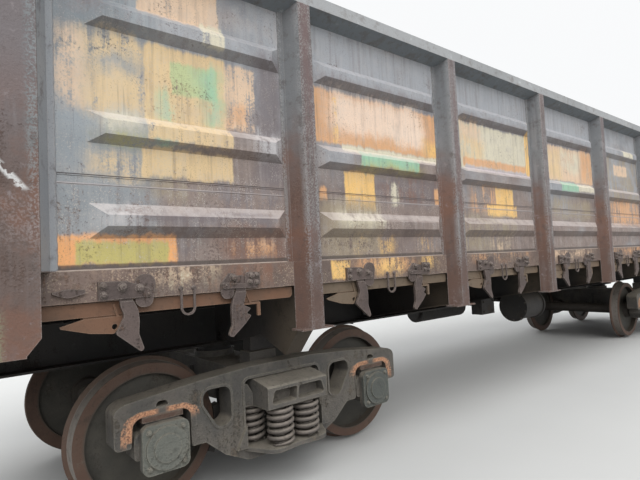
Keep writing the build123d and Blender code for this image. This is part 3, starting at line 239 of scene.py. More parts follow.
CAMERA_PLACE = Vector((-6.395, -4.154, 1.591))
YAW = math.radians(39.29)
PITCH = math.radians(2.80)
ROLL = math.radians(-2.79)
FOCAL_PIXELS = 482.0
PHOTO_WIDTH = 640
SENSOR = 36.0


def camera():
    """The photograph's own view, turned from +Y towards +X by the yaw."""
    look = Vector((math.sin(YAW) * math.cos(PITCH), math.cos(YAW) * math.cos(PITCH), math.sin(PITCH)))
    level = Vector((math.cos(YAW), -math.sin(YAW), 0))
    above = level.cross(look)
    right = level * math.cos(ROLL) + above * math.sin(ROLL)
    up = above * math.cos(ROLL) - level * math.sin(ROLL)
    lens = bpy.data.cameras.new("photo_camera")
    lens.sensor_width = SENSOR
    lens.lens = FOCAL_PIXELS / PHOTO_WIDTH * SENSOR
    lens.clip_start = 0.05
    lens.clip_end = 400
    body = bpy.data.objects.new("photo_camera", lens)
    turn = Matrix((right, up, -look)).transposed().to_4x4()
    body.matrix_world = Matrix.Translation(CAMERA_PLACE) @ turn
    bpy.context.scene.collection.objects.link(body)
    bpy.context.scene.camera = body


def seen_directly(tree):
    """One for rays that the camera, a mirror or glass sends, else nothing."""
    path = tree.nodes.new("ShaderNodeLightPath")
    value = path.outputs["Is Camera Ray"]
    for name in ("Is Glossy Ray", "Is Transmission Ray"):
        most = tree.nodes.new("ShaderNodeMath")
        most.operation = "MAXIMUM"
        tree.links.new(value, most.inputs[0])
        tree.links.new(path.outputs[name], most.inputs[1])
        value = most.outputs[0]
    return value


# Light of the sky: two heights of a direction, and its strength from each
SKY_LIGHT = (-0.05, 0.9, 0.22, 1.15)
SKY_TINT = (0.92, 0.96, 1.0, 1)
SKY_SHOWN = (0.95, 0.96, 0.97, 1)
LAMP_TINT = (1.0, 0.985, 0.96)


def sky():
    """Even light from a white sky, and colours shown as they are."""
    bpy.context.scene.view_settings.view_transform = "Standard"
    world = bpy.data.worlds.new("studio")
    bpy.context.scene.world = world
    world.use_nodes = True
    tree = world.node_tree
    tree.nodes.clear()
    add = tree.nodes.new
    link = tree.links.new
    place = add("ShaderNodeTexCoord")
    parts = add("ShaderNodeSeparateXYZ")
    link(place.outputs["Generated"], parts.inputs[0])
    rise = add("ShaderNodeMapRange")
    for i, number in enumerate(SKY_LIGHT):
        rise.inputs[i + 1].default_value = number
    link(parts.outputs[2], rise.inputs[0])
    lit = add("ShaderNodeBackground")
    lit.inputs["Color"].default_value = SKY_TINT
    link(rise.outputs[0], lit.inputs["Strength"])
    shown = add("ShaderNodeBackground")
    shown.inputs["Color"].default_value = SKY_SHOWN
    shown.inputs["Strength"].default_value = 1.0
    blend = add("ShaderNodeMixShader")
    out = add("ShaderNodeOutputWorld")
    link(seen_directly(tree), blend.inputs[0])
    link(lit.outputs[0], blend.inputs[1])
    link(shown.outputs[0], blend.inputs[2])
    link(blend.outputs[0], out.inputs[0])


# Soft lamps: name, strength, spread in degrees, direction that the light comes from
LAMPS = [
    ("sky_panel", 2.4, 70, (-0.45, -0.85, 0.95)),
    ("far_panel", 1.2, 80, (0.5, 0.9, 0.9)),
]


def lamps():
    for name, strength, spread, source in LAMPS:
        lamp = bpy.data.lights.new(name, "SUN")
        lamp.energy = strength
        lamp.angle = math.radians(spread)
        lamp.color = LAMP_TINT
        holder = bpy.data.objects.new(name, lamp)
        holder.rotation_mode = "QUATERNION"
        holder.rotation_quaternion = Vector(source).to_track_quat("Z", "Y")
        bpy.context.scene.collection.objects.link(holder)


FLOOR_REACH = 60.0
FLOOR_TONES = ((0.55, 0.55, 0.54, 1), (0.59, 0.59, 0.58, 1))
FLOOR_SHADE = (0.20, 0.195, 0.18, 1)


def floor():
    """Pale floor. It throws little light back up, as ground in the shade of a wagon does."""
    mesh = bpy.data.meshes.new("floor")
    corners = [(x * FLOOR_REACH, y * FLOOR_REACH, 0) for x, y in ((-1, -1), (1, -1), (1, 1), (-1, 1))]
    mesh.from_pydata(corners, [], [(0, 1, 2, 3)])
    plane = bpy.data.objects.new("floor", mesh)
    bpy.context.scene.collection.objects.link(plane)
    coat = Coat("floor_finish")
    tone = coat.mix(coat.noise(0.8, 3.0), *FLOOR_TONES)
    coat.colour = coat.mix(seen_directly(coat.tree), FLOOR_SHADE, tone)
    mesh.materials.append(coat.close(0.95))


# Added pieces, made as meshes


class Shapes:
    """Points and faces of one added piece, gathered and then made into an object."""

    def __init__(self):
        self.points = []
        self.faces = []

    def rings(self, rings):
        """A closed body through rings of equally many points, with flat ends."""
        start = len(self.points)
        count = len(rings[0])
        for ring in rings:
            self.points += ring
        for i in range(len(rings) - 1):
            for j in range(count):
                a = start + i * count + j
                b = start + i * count + (j + 1) % count
                self.faces.append((a, b, b + count, a + count))
        self.faces.append(tuple(range(start + count - 1, start - 1, -1)))
        last = start + (len(rings) - 1) * count
        self.faces.append(tuple(range(last, last + count)))

    def turned(self, base, axis, profile, sides, phase=0.0):
        """A body turned about an axis, through (radius, height) pairs."""
        axis = Vector(axis).normalized()
        across = axis.orthogonal().normalized()
        other = axis.cross(across)
        corners = []
        for j in range(sides):
            angle = phase + 2 * math.pi * j / sides
            corners.append(across * math.cos(angle) + other * math.sin(angle))
        base = Vector(base)
        self.rings([[base + axis * height + c * radius for c in corners] for radius, height in profile])

    def tube(self, path, radii, sides):
        """A round bar along a path, with a radius at each point."""
        rings = []
        across = None
        for i, (point, radius) in enumerate(zip(path, radii)):
            ahead = (path[min(i + 1, len(path) - 1)] - path[max(i - 1, 0)]).normalized()
            if across is None:
                across = ahead.orthogonal().normalized()
            across = (across - ahead * across.dot(ahead)).normalized()
            other = ahead.cross(across)
            ring = []
            for j in range(sides):
                angle = 2 * math.pi * j / sides
                ring.append(point + (across * math.cos(angle) + other * math.sin(angle)) * radius)
            rings.append(ring)
        self.rings(rings)

    def make(self, name, body, material, smooth=True):
        mesh = bpy.data.meshes.new(name)
        mesh.from_pydata(self.points, [], self.faces)
        work = bmesh.new()
        work.from_mesh(mesh)
        bmesh.ops.recalc_face_normals(work, faces=work.faces)
        work.to_mesh(mesh)
        work.free()
        if smooth:
            mesh.shade_smooth()
        mesh.materials.append(material)
        piece = bpy.data.objects.new(name, mesh)
        bpy.context.scene.collection.objects.link(piece)
        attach(piece, body)
        return piece


# Depth to which bolts and rivets are sunk in their seat, and turn of a nut for each metre along the wagon
SUNK = -0.001
NUT_TURN = 7.3


def bolt(shapes, base, axis, size):
    """Washer, six sided nut and bolt end. Size is the radius over the corners of the nut."""
    washer = [(size * 1.28, SUNK), (size * 1.28, size * 0.14), (size * 1.2, size * 0.2)]
    shapes.turned(base, axis, washer, 14)
    base = Vector(base) + Vector(axis) * size * 0.2
    nut = [(size, SUNK), (size, size * 0.72), (size * 0.84, size * 0.86)]
    shapes.turned(base, axis, nut, 6, phase=base.x * NUT_TURN)
    end = [(size * 0.56, size * 0.8), (size * 0.56, size * 1.15), (size * 0.46, size * 1.25)]
    shapes.turned(base, axis, end, 10)


def rivet(shapes, base, axis, size):
    """Round head. Size is its radius."""
    dome = [(size, SUNK), (size * 0.94, size * 0.28), (size * 0.7, size * 0.55), (size * 0.3, size * 0.7)]
    shapes.turned(base, axis, dome, 10)


def weld(shapes, start, end, size, step=0.02):
    """Uneven weld bead along a straight seam, half sunk in its corner."""
    start = Vector(start)
    along = Vector(end) - start
    count = max(2, int(along.length / step))
    path = [start + along * (i / count) for i in range(count + 1)]
    radii = []
    for i in range(count + 1):
        slow = 0.22 * math.sin(2.1 * i + start.x)
        quick = 0.12 * math.sin(5.3 * i)
        radii.append(size * (1 + slow + quick))
    shapes.tube(path, radii, 5)


# Bolts of the catches: distance along X from the middle of the hatch on the left side, height over the
# bottom of the chord, size, face that it stands on. Rivets likewise.
LATCH_BOLTS = [
    (0.47, 0.078, 0.016, PLATE_FACE), (0.47, 0.03, 0.016, PLATE_FACE), (0.375, 0.066, 0.021, PLATE_FACE),
    (0.283, 0.054, 0.02, PLATE_FACE), (-0.42, 0.086, 0.018, PLATE_FACE),
    (-0.462, 0.088, 0.014, PLATE_FACE), (-0.46, 0.042, 0.015, PLATE_FACE),
    (-0.412, 0.048, 0.016, PLATE_FACE), (-0.296, 0.08, 0.02, CATCH_FACE),
]
LATCH_RIVETS = [(0.236, 0.02, 0.009, PLATE_FACE), (-0.245, 0.034, 0.008, PLATE_FACE)]
LOOP_WELD_HALF = 0.04
LOOP_WELD_HEIGHT = 0.036
LOOP_WELD_SIZE = 0.0165


def latch_fasteners(material):
    """Bolts and rivets of the catches, and the weld at each foot of the tie loops."""
    shapes = Shapes()
    for turn in SIDES:
        axis = (0, turn, 0)
        for middle in HATCH_PLACES:
            for along, height, size, face in LATCH_BOLTS:
                bolt(shapes, (middle + turn * along, turn * face, CHORD_BOTTOM + height), axis, size)
            for along, height, size, face in LATCH_RIVETS:
                rivet(shapes, (middle + turn * along, turn * face, CHORD_BOTTOM + height), axis, size)
            for along in (-LOOP_WELD_HALF, LOOP_WELD_HALF):
                place = (middle + along, turn * CHORD_FACE, CHORD_BOTTOM + LOOP_WELD_HEIGHT)
                rivet(shapes, place, axis, LOOP_WELD_SIZE)
    shapes.make("latch_fasteners", "wagon_body", material, smooth=False)


# Radii of the weld beads, and how far each one's middle stands off its seam
POST_WELD = 0.0055
SEAM_WELD = 0.004
LAP_WELD = 0.003
CHORD_WELD = 0.006
POST_WELD_OUT = 0.001
END_WELD_OUT = 0.002
CHORD_WELD_OUT = 0.004
# How far beads run in under a corner post, and how far from a side post they end
CORNER_LAP = 0.005
POST_GAP = 0.002


def post_welds(material):
    """Beads down both flanges of every side post and the inner flange of every corner post."""
    shapes = Shapes()
    flange = POST_FLANGE_HALF + POST_WELD_OUT
    corner_flange = CORNER_FLANGE - POST_WELD_OUT
    for turn in SIDES:
        places = [x + offset for x in POST_PLACES for offset in (-flange, flange)]
        places += [-corner_flange, corner_flange]
        for x in places:
            y = turn * (SHEET_FACE + POST_WELD_OUT)
            weld(shapes, (x, y, CHORD_TOP), (x, y, TOP_CHORD_BOTTOM), POST_WELD)
    shapes.make("post_welds", "wagon_body", material)


def sheet_welds(material):
    """Beads along the lapped joint of the side sheets and along the top of the bottom chord."""
    shapes = Shapes()
    last = CORNER_FLANGE + CORNER_LAP
    beside = POST_FLANGE_HALF + POST_GAP
    edges = [-last] + [x + offset for x in POST_PLACES for offset in (-beside, beside)] + [last]
    for turn in SIDES:
        beads = [
            (SHEET_FACE, SEAM_HEIGHT, SEAM_WELD), (SHEET_FACE, SEAM_HEIGHT - SEAM_LAP, LAP_WELD),
            (SHEET_FACE + CHORD_WELD_OUT, CHORD_TOP, CHORD_WELD),
        ]
        for x0, x1 in zip(edges[::2], edges[1::2]):
            for y, z, size in beads:
                weld(shapes, (x0, turn * y, z), (x1, turn * y, z), size)
    shapes.make("sheet_welds", "wagon_body", material)


AXLE_BOX_BOLT = 0.108
AXLE_BOX_BOLT_SIZE = 0.015


def axle_box_bolts(material):
    """Four bolts on each axle box cover."""
    for number, places in ((1, WHEEL_PLACES[:2]), (2, WHEEL_PLACES[2:])):
        shapes = Shapes()
        for turn in SIDES:
            for x in places:
                for dx in (-AXLE_BOX_BOLT, AXLE_BOX_BOLT):
                    for dz in (-AXLE_BOX_BOLT, AXLE_BOX_BOLT):
                        base = (x + dx, turn * COVER_FACE, AXLE_HEIGHT + dz)
                        bolt(shapes, base, (0, turn, 0), AXLE_BOX_BOLT_SIZE)
        shapes.make(f"axle_box_bolts_{number}", f"bogie_{number}", material, smooth=False)


RING_BOLTS = 10
RING_BOLT_SIZE = 0.012
RING_RADIUS = 0.192
CYLINDER_RIM = 0.21
CYLINDER_LENGTH = 0.528
VALVE_BOLT_SIZE = 0.014
VALVE_BOLT_INSET = 0.04


def brake_bolts(material):
    """Rings of bolts round both covers of the brake cylinder, and four on the face of the valve."""
    shapes = Shapes()
    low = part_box("brake_cylinder")[0]
    middle = Vector((0, low.y + CYLINDER_RIM, low.z + CYLINDER_RIM))
    for x, way in ((low.x, -1), (low.x + CYLINDER_LENGTH, 1)):
        for i in range(RING_BOLTS):
            angle = 2 * math.pi * (i + 0.5) / RING_BOLTS
            around = Vector((x, math.cos(angle) * RING_RADIUS, math.sin(angle) * RING_RADIUS))
            bolt(shapes, middle + around, (way, 0, 0), RING_BOLT_SIZE)
    low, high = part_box("brake_valve")
    for x in (low.x + VALVE_BOLT_INSET, high.x - VALVE_BOLT_INSET):
        for z in (low.z + VALVE_BOLT_INSET, high.z - VALVE_BOLT_INSET):
            bolt(shapes, (x, low.y, z), (0, -1, 0), VALVE_BOLT_SIZE)
    shapes.make("brake_bolts", "wagon_body", material, smooth=False)


STRIKER_RIVETS = 5
STRIKER_RIVET_SIZE = 0.019
STRIKER_SIDE_INSET = 0.032
STRIKER_END_INSET = 0.035


def striker_rivets(material):
    """Rivets down both edges of the strikers."""
    shapes = Shapes()
    low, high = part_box("strikers")
    length = high.z - low.z - 2 * STRIKER_END_INSET
    for way in (-1, 1):
        for y in (low.y + STRIKER_SIDE_INSET, high.y - STRIKER_SIDE_INSET):
            for i in range(STRIKER_RIVETS):
                z = low.z + STRIKER_END_INSET + length * i / (STRIKER_RIVETS - 1)
                rivet(shapes, (way * high.x, y, z), (way, 0, 0), STRIKER_RIVET_SIZE)
    shapes.make("striker_rivets", "wagon_body", material)


END_POST_PLACE = 0.52
END_POST_FLANGE_HALF = 0.118
END_POST_DEPTH = 0.078
END_WELD_INSET = 0.01
END_WELD_SPREAD = 1.008


def end_welds(material):
    """Beads down both flanges of the end posts."""
    shapes = Shapes()
    low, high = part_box("end_posts")
    wall = high.x - END_POST_DEPTH
    flange = END_POST_FLANGE_HALF * END_WELD_SPREAD
    for way in (-1, 1):
        x = way * (wall + END_WELD_OUT)
        for post in (-END_POST_PLACE, END_POST_PLACE):
            for y in (post - flange, post + flange):
                weld(shapes, (x, y, low.z + END_WELD_INSET), (x, y, high.z - END_WELD_INSET), POST_WELD)
    shapes.make("end_welds", "wagon_body", material)


# Coil springs: radius of the coil, radius of its wire, turns, sides of the wire, steps in a turn
COILS = [(0.085, 0.015, 5.6, 10, 26), (0.052, 0.0095, 8.5, 7, 18)]
SPRING_GRID = [(0, 0), (0.23, 0), (-0.23, 0), (0.115, 0.2), (-0.115, 0.2), (0.115, -0.2), (-0.115, -0.2)]
# From the outermost spring's outside to the middle row, and turn of each spring against the one before
SPRING_ROW_DEPTH = 0.3
SPRING_TURN = 2.1
# At each end: flat turns, their pitch in wires, thinnest share of the wire, turns over which it thins
END_TURNS = 0.8
END_PITCH = 0.96
END_SHARE = 0.35
THIN_TURNS = 0.5


def coil(shapes, x, y, z0, z1, radius, wire, turns, sides, steps, phase):
    """One spring with closed ends that lie flat on their seats and thin out to nothing."""
    rise = z1 - z0 - 2 * wire
    end_rise = END_TURNS * 2 * wire * END_PITCH
    pitch = (rise - 2 * end_rise) / (turns - 2 * END_TURNS)
    path = []
    radii = []
    count = int(turns * steps)
    for i in range(count + 1):
        turn = turns * i / count
        left = turns - turn
        if turn < END_TURNS:
            z = turn / END_TURNS * end_rise
        elif left < END_TURNS:
            z = rise - left / END_TURNS * end_rise
        else:
            z = end_rise + (turn - END_TURNS) * pitch
        thin = min(1.0, END_SHARE + min(turn, left) / THIN_TURNS)
        drop = wire * (1 - thin) * (-1 if turn < left else 1)
        angle = 2 * math.pi * turn + phase
        around = (radius * math.cos(angle), radius * math.sin(angle))
        path.append(Vector((x + around[0], y + around[1], z0 + wire + z + drop)))
        radii.append(wire * thin)
    shapes.tube(path, radii, sides)


def springs(material):
    """Real coils in place of the plain cylinders, an outer and an inner one at each place."""
    for number in (1, 2):
        low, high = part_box(f"bogie_{number}_springs")
        middle = (low.x + high.x) / 2
        row = high.y - SPRING_ROW_DEPTH
        shapes = Shapes()
        for turn in SIDES:
            for k, (dx, dy) in enumerate(SPRING_GRID):
                for radius, wire, turns, sides, steps in COILS:
                    place = (middle + turn * dx, turn * (row + dy), low.z, high.z)
                    phase = SPRING_TURN * k + 40 * radius
                    coil(shapes, *place, radius, wire, turns, sides, steps, phase)
        piece = shapes.make(f"coil_springs_{number}", f"bogie_{number}", material)
        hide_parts(f"bogie_{number}_springs")


# Paint and metal of the part

YELLOW = srgb(232, 203, 156)
GOLD = srgb(252, 206, 130)
ORANGE = srgb(230, 177, 130)
AMBER = srgb(250, 182, 120)
PEACH = srgb(236, 205, 174)
PINK = srgb(250, 226, 206)
CREAM = srgb(228, 220, 196)
GREEN = srgb(194, 207, 156)
MINT = srgb(160, 206, 176)
OLIVE = srgb(194, 186, 116)
PALE = srgb(196, 194, 196)
LILAC = srgb(196, 186, 190)
SLATE = srgb(170, 173, 179)
PALE_BLUE = srgb(150, 158, 164)
PLUM = srgb(122, 114, 117)
STEEL = srgb(124, 132, 138)
STAIN = srgb(164, 150, 128)
RUST = srgb(130, 96, 80)

# Paint left on the side sheets: left, right, low, high in metres, colour, share of it left, loose edge
SIDE_PATCHES = [
    (-5.94, -5.38, 1.78, 3.36, PALE_BLUE, 0.72, True),
    (-5.94, -5.52, 2.78, 3.42, STEEL, 1.0, True),
    (-4.70, -4.45, 2.12, 3.02, PLUM, 0.9, True),
    (-5.25, -4.45, 1.66, 2.10, PLUM, 0.45, True),
    (-5.90, -5.72, 2.48, 2.88, PEACH, 0.55, True),
    (-5.74, -5.38, 2.47, 2.90, YELLOW, 0.7, True),
    (-5.66, -5.44, 2.70, 2.78, PALE_BLUE, 0.85, True),
    (-5.84, -5.62, 3.02, 3.40, PLUM, 0.5, True),
    (-5.42, -4.90, 2.46, 2.92, YELLOW, 1.0, False),
    (-4.91, -4.69, 2.48, 2.90, PEACH, 0.62, False),
    (-4.88, -4.74, 2.50, 2.64, ORANGE, 0.7, True),
    (-5.26, -4.96, 2.64, 2.84, GREEN, 0.92, False),
    (-5.07, -4.95, 2.62, 2.83, MINT, 1.0, True),
    (-5.34, -5.27, 2.14, 2.62, MINT, 0.6, True),
    (-5.04, -4.95, 2.47, 2.66, MINT, 0.62, True),
    (-5.42, -4.88, 2.34, 2.47, YELLOW, 0.8, False),
    (-5.68, -5.42, 2.39, 2.47, CREAM, 0.9, True),
    (-5.66, -5.42, 2.30, 2.36, OLIVE, 0.5, True),
    (-4.72, -4.45, 2.31, 2.48, PALE, 0.66, True),
    (-5.45, -4.87, 2.13, 2.30, YELLOW, 0.92, False),
    (-5.74, -5.43, 2.11, 2.23, YELLOW, 0.48, True),
    (-5.97, -5.92, 2.00, 2.11, AMBER, 0.9, False),
    (-5.42, -5.05, 2.00, 2.10, STAIN, 0.5, True),
    (-5.56, -4.58, 1.85, 1.94, PLUM, 1.0, True),
    (-5.68, -5.46, 1.85, 1.94, PALE, 0.6, True),
    (-5.92, -5.26, 1.64, 1.80, AMBER, 0.97, False),
    (-5.80, -5.31, 1.64, 1.765, OLIVE, 0.97, False),
    (-5.13, -4.94, 1.65, 1.75, CREAM, 0.35, True),
    (-4.98, -4.46, 1.63, 1.84, RUST, 0.8, True),
    (-4.88, -4.57, 1.65, 1.76, ORANGE, 0.36, True),
    (-5.45, -4.94, 3.09, 3.40, PEACH, 0.97, False),
    (-5.07, -4.92, 2.97, 3.12, CREAM, 0.66, False),
    (-4.19, -2.74, 2.94, 3.36, SLATE, 0.85, True),
    (-4.15, -2.80, 2.90, 2.99, PLUM, 0.7, True),
    (-4.18, -2.67, 2.50, 2.90, ORANGE, 1.0, False),
    (-4.04, -2.92, 2.60, 2.90, PINK, 0.85, True),
    (-3.43, -3.10, 2.56, 2.78, STAIN, 0.2, True),
    (-3.36, -2.92, 2.58, 2.74, PINK, 0.8, True),
    (-4.00, -3.95, 2.50, 2.86, GOLD, 0.55, False),
    (-2.92, -2.69, 2.49, 2.64, GOLD, 0.8, True),
    (-3.92, -2.75, 2.44, 2.50, CREAM, 0.85, False),
    (-3.76, -3.06, 2.345, 2.45, MINT, 0.96, False),
    (-3.76, -3.00, 2.30, 2.35, OLIVE, 0.7, True),
    (-3.56, -2.70, 2.08, 2.30, PLUM, 0.8, True),
    (-3.50, -2.72, 2.08, 2.28, RUST, 0.42, True),
    (-3.91, -3.58, 1.99, 2.29, GOLD, 0.97, False),
    (-3.39, -3.29, 2.04, 2.23, CREAM, 0.65, False),
    (-2.81, -2.68, 2.07, 2.21, ORANGE, 0.9, False),
    (-4.16, -4.09, 2.06, 2.15, ORANGE, 0.8, False),
    (-4.18, -3.56, 1.63, 2.06, STAIN, 0.95, True),
    (-4.00, -3.50, 1.86, 1.96, CREAM, 0.6, True),
    (-3.82, -3.70, 1.65, 1.78, GOLD, 0.5, True),
    (-3.56, -3.40, 1.65, 1.78, GOLD, 0.48, True),
    (-3.06, -2.88, 1.65, 1.76, GOLD, 0.42, True),
    (-2.44, -1.05, 2.94, 3.36, SLATE, 0.6, True),
    (-2.40, -1.05, 2.90, 2.99, PLUM, 0.7, True),
    (-2.36, -0.94, 2.46, 2.92, CREAM, 0.97, False),
    (-2.36, -1.98, 2.70, 2.92, PEACH, 0.65, True),
    (-2.36, -1.94, 2.54, 2.76, YELLOW, 0.6, True),
    (-1.74, -1.36, 2.58, 2.74, PLUM, 0.34, True),
    (-2.32, -0.95, 2.49, 2.57, ORANGE, 0.9, False),
    (-2.30, -1.00, 2.44, 2.49, LILAC, 0.85, False),
    (-1.10, -0.95, 2.47, 3.05, GOLD, 0.9, False),
    (-2.20, -1.79, 2.02, 2.28, ORANGE, 0.48, True),
    (-1.78, -1.43, 2.00, 2.29, GOLD, 0.95, False),
    (-1.95, -1.37, 1.99, 2.11, GOLD, 0.66, False),
    (-2.42, -1.50, 1.63, 2.00, STAIN, 0.55, True),
    (-1.90, -1.45, 1.65, 1.76, PEACH, 0.42, True),
    (-0.70, 0.70, 2.94, 3.36, SLATE, 0.85, True),
    (-0.60, 0.65, 2.90, 2.99, PLUM, 0.75, True),
    (-0.54, 0.72, 2.48, 2.91, PEACH, 0.97, False),
    (-0.54, -0.22, 2.50, 2.86, YELLOW, 0.7, True),
    (-0.20, 0.34, 2.60, 2.88, CREAM, 0.6, True),
    (0.36, 0.72, 2.48, 2.90, ORANGE, 0.7, True),
    (-0.33, 0.15, 2.345, 2.46, MINT, 0.95, False),
    (0.15, 0.62, 2.36, 2.46, CREAM, 0.8, False),
    (-0.50, 0.60, 2.00, 2.25, STAIN, 0.62, True),
    (1.15, 2.50, 2.30, 2.94, STAIN, 0.48, True),
    (1.50, 2.02, 2.68, 2.84, PEACH, 0.8, False),
    (1.80, 2.20, 2.99, 3.08, CREAM, 0.8, False),
    (1.27, 2.40, 1.96, 2.29, ORANGE, 0.58, True),
    (3.00, 4.10, 2.50, 2.88, ORANGE, 0.62, False),
    (3.10, 3.70, 2.08, 2.26, YELLOW, 0.5, True),
    (4.80, 5.70, 2.52, 2.86, PEACH, 0.62, False),
    (4.70, 5.30, 1.66, 1.78, ORANGE, 0.7, False),
]

# Paint left on the bottom chords, in the same columns
CHORD_PATCHES = [
    (-5.66, -5.02, 1.54, 1.612, PEACH, 0.44, True),
    (-5.40, -4.96, 1.50, 1.60, STAIN, 0.3, True),
    (-5.30, -5.10, 1.48, 1.60, CREAM, 0.18, True),
    (-4.95, -4.50, 1.47, 1.612, RUST, 0.5, True),
    (-4.09, -3.90, 1.47, 1.605, GOLD, 0.8, False),
    (-3.84, -3.18, 1.53, 1.612, ORANGE, 0.62, True),
    (-3.60, -3.34, 1.49, 1.60, GOLD, 0.66, True),
    (-3.05, -2.86, 1.50, 1.60, GOLD, 0.48, True),
    (-2.30, -1.20, 1.54, 1.612, ORANGE, 0.42, True),
    (-0.60, 0.50, 1.52, 1.612, PEACH, 0.42, True),
    (1.20, 2.40, 1.52, 1.612, ORANGE, 0.42, True),
    (3.00, 4.10, 1.50, 1.612, GOLD, 0.42, True),
]


# Edges of a patch, firm and loose: how far broad noise, fine noise and runs move them, how soft they are
# along the wagon and up it, and how well the patch covers. Then the spread of the noise of wear, and over
# how much of it a patch wears away.
PATCH_EDGES = {False: (0.05, 0.012, 0.07, 0.008, 0.016, 0.94), True: (0.18, 0.05, 0.16, 0.09, 0.06, 0.85)}
WEAR_SPREAD = 0.26
WEAR_EDGE = 0.05


def along_side(coat):
    """Place along the side as the photographed side has it, on either side of the wagon."""
    return coat.times(coat.x, coat.times(coat.math("SIGN", coat.y), -1.0))


def painted(coat, rows, patchy, drip, grain):
    """Lays patches of old paint over the colour, their edges ragged and their paint partly worn away."""
    along = along_side(coat)
    wobble = coat.split(coat.noise(7.0, 4.0, 0.62, colour=True))
    fine = coat.split(coat.noise(80.0, 2.0, 0.6, colour=True))
    places = {}
    for loose, (wide, small, run, *_) in PATCH_EDGES.items():
        x = coat.sum(along, coat.swing(wobble[0], wide), coat.swing(fine[0], small))
        z = coat.sum(coat.z, coat.swing(wobble[1], wide), coat.swing(fine[1], small), coat.swing(drip, run))
        places[loose] = (x, z)
    wear = coat.weighed(patchy, 0.4, drip, 0.32, grain, 0.28)
    for left, right, low, high, tint, share, loose in rows:
        x, z = places[loose]
        *_, soft_x, soft_z, cover = PATCH_EDGES[loose]
        inside = coat.soft_inside(x, left, right, soft_x)
        mask = coat.times(inside, coat.soft_inside(z, low, high, soft_z), cover)
        limit = 0.5 + (share - 0.5) * WEAR_SPREAD
        left_over = coat.ramp(wear, limit + WEAR_EDGE, limit - WEAR_EDGE)
        coat.lay(tint, mask, left_over)


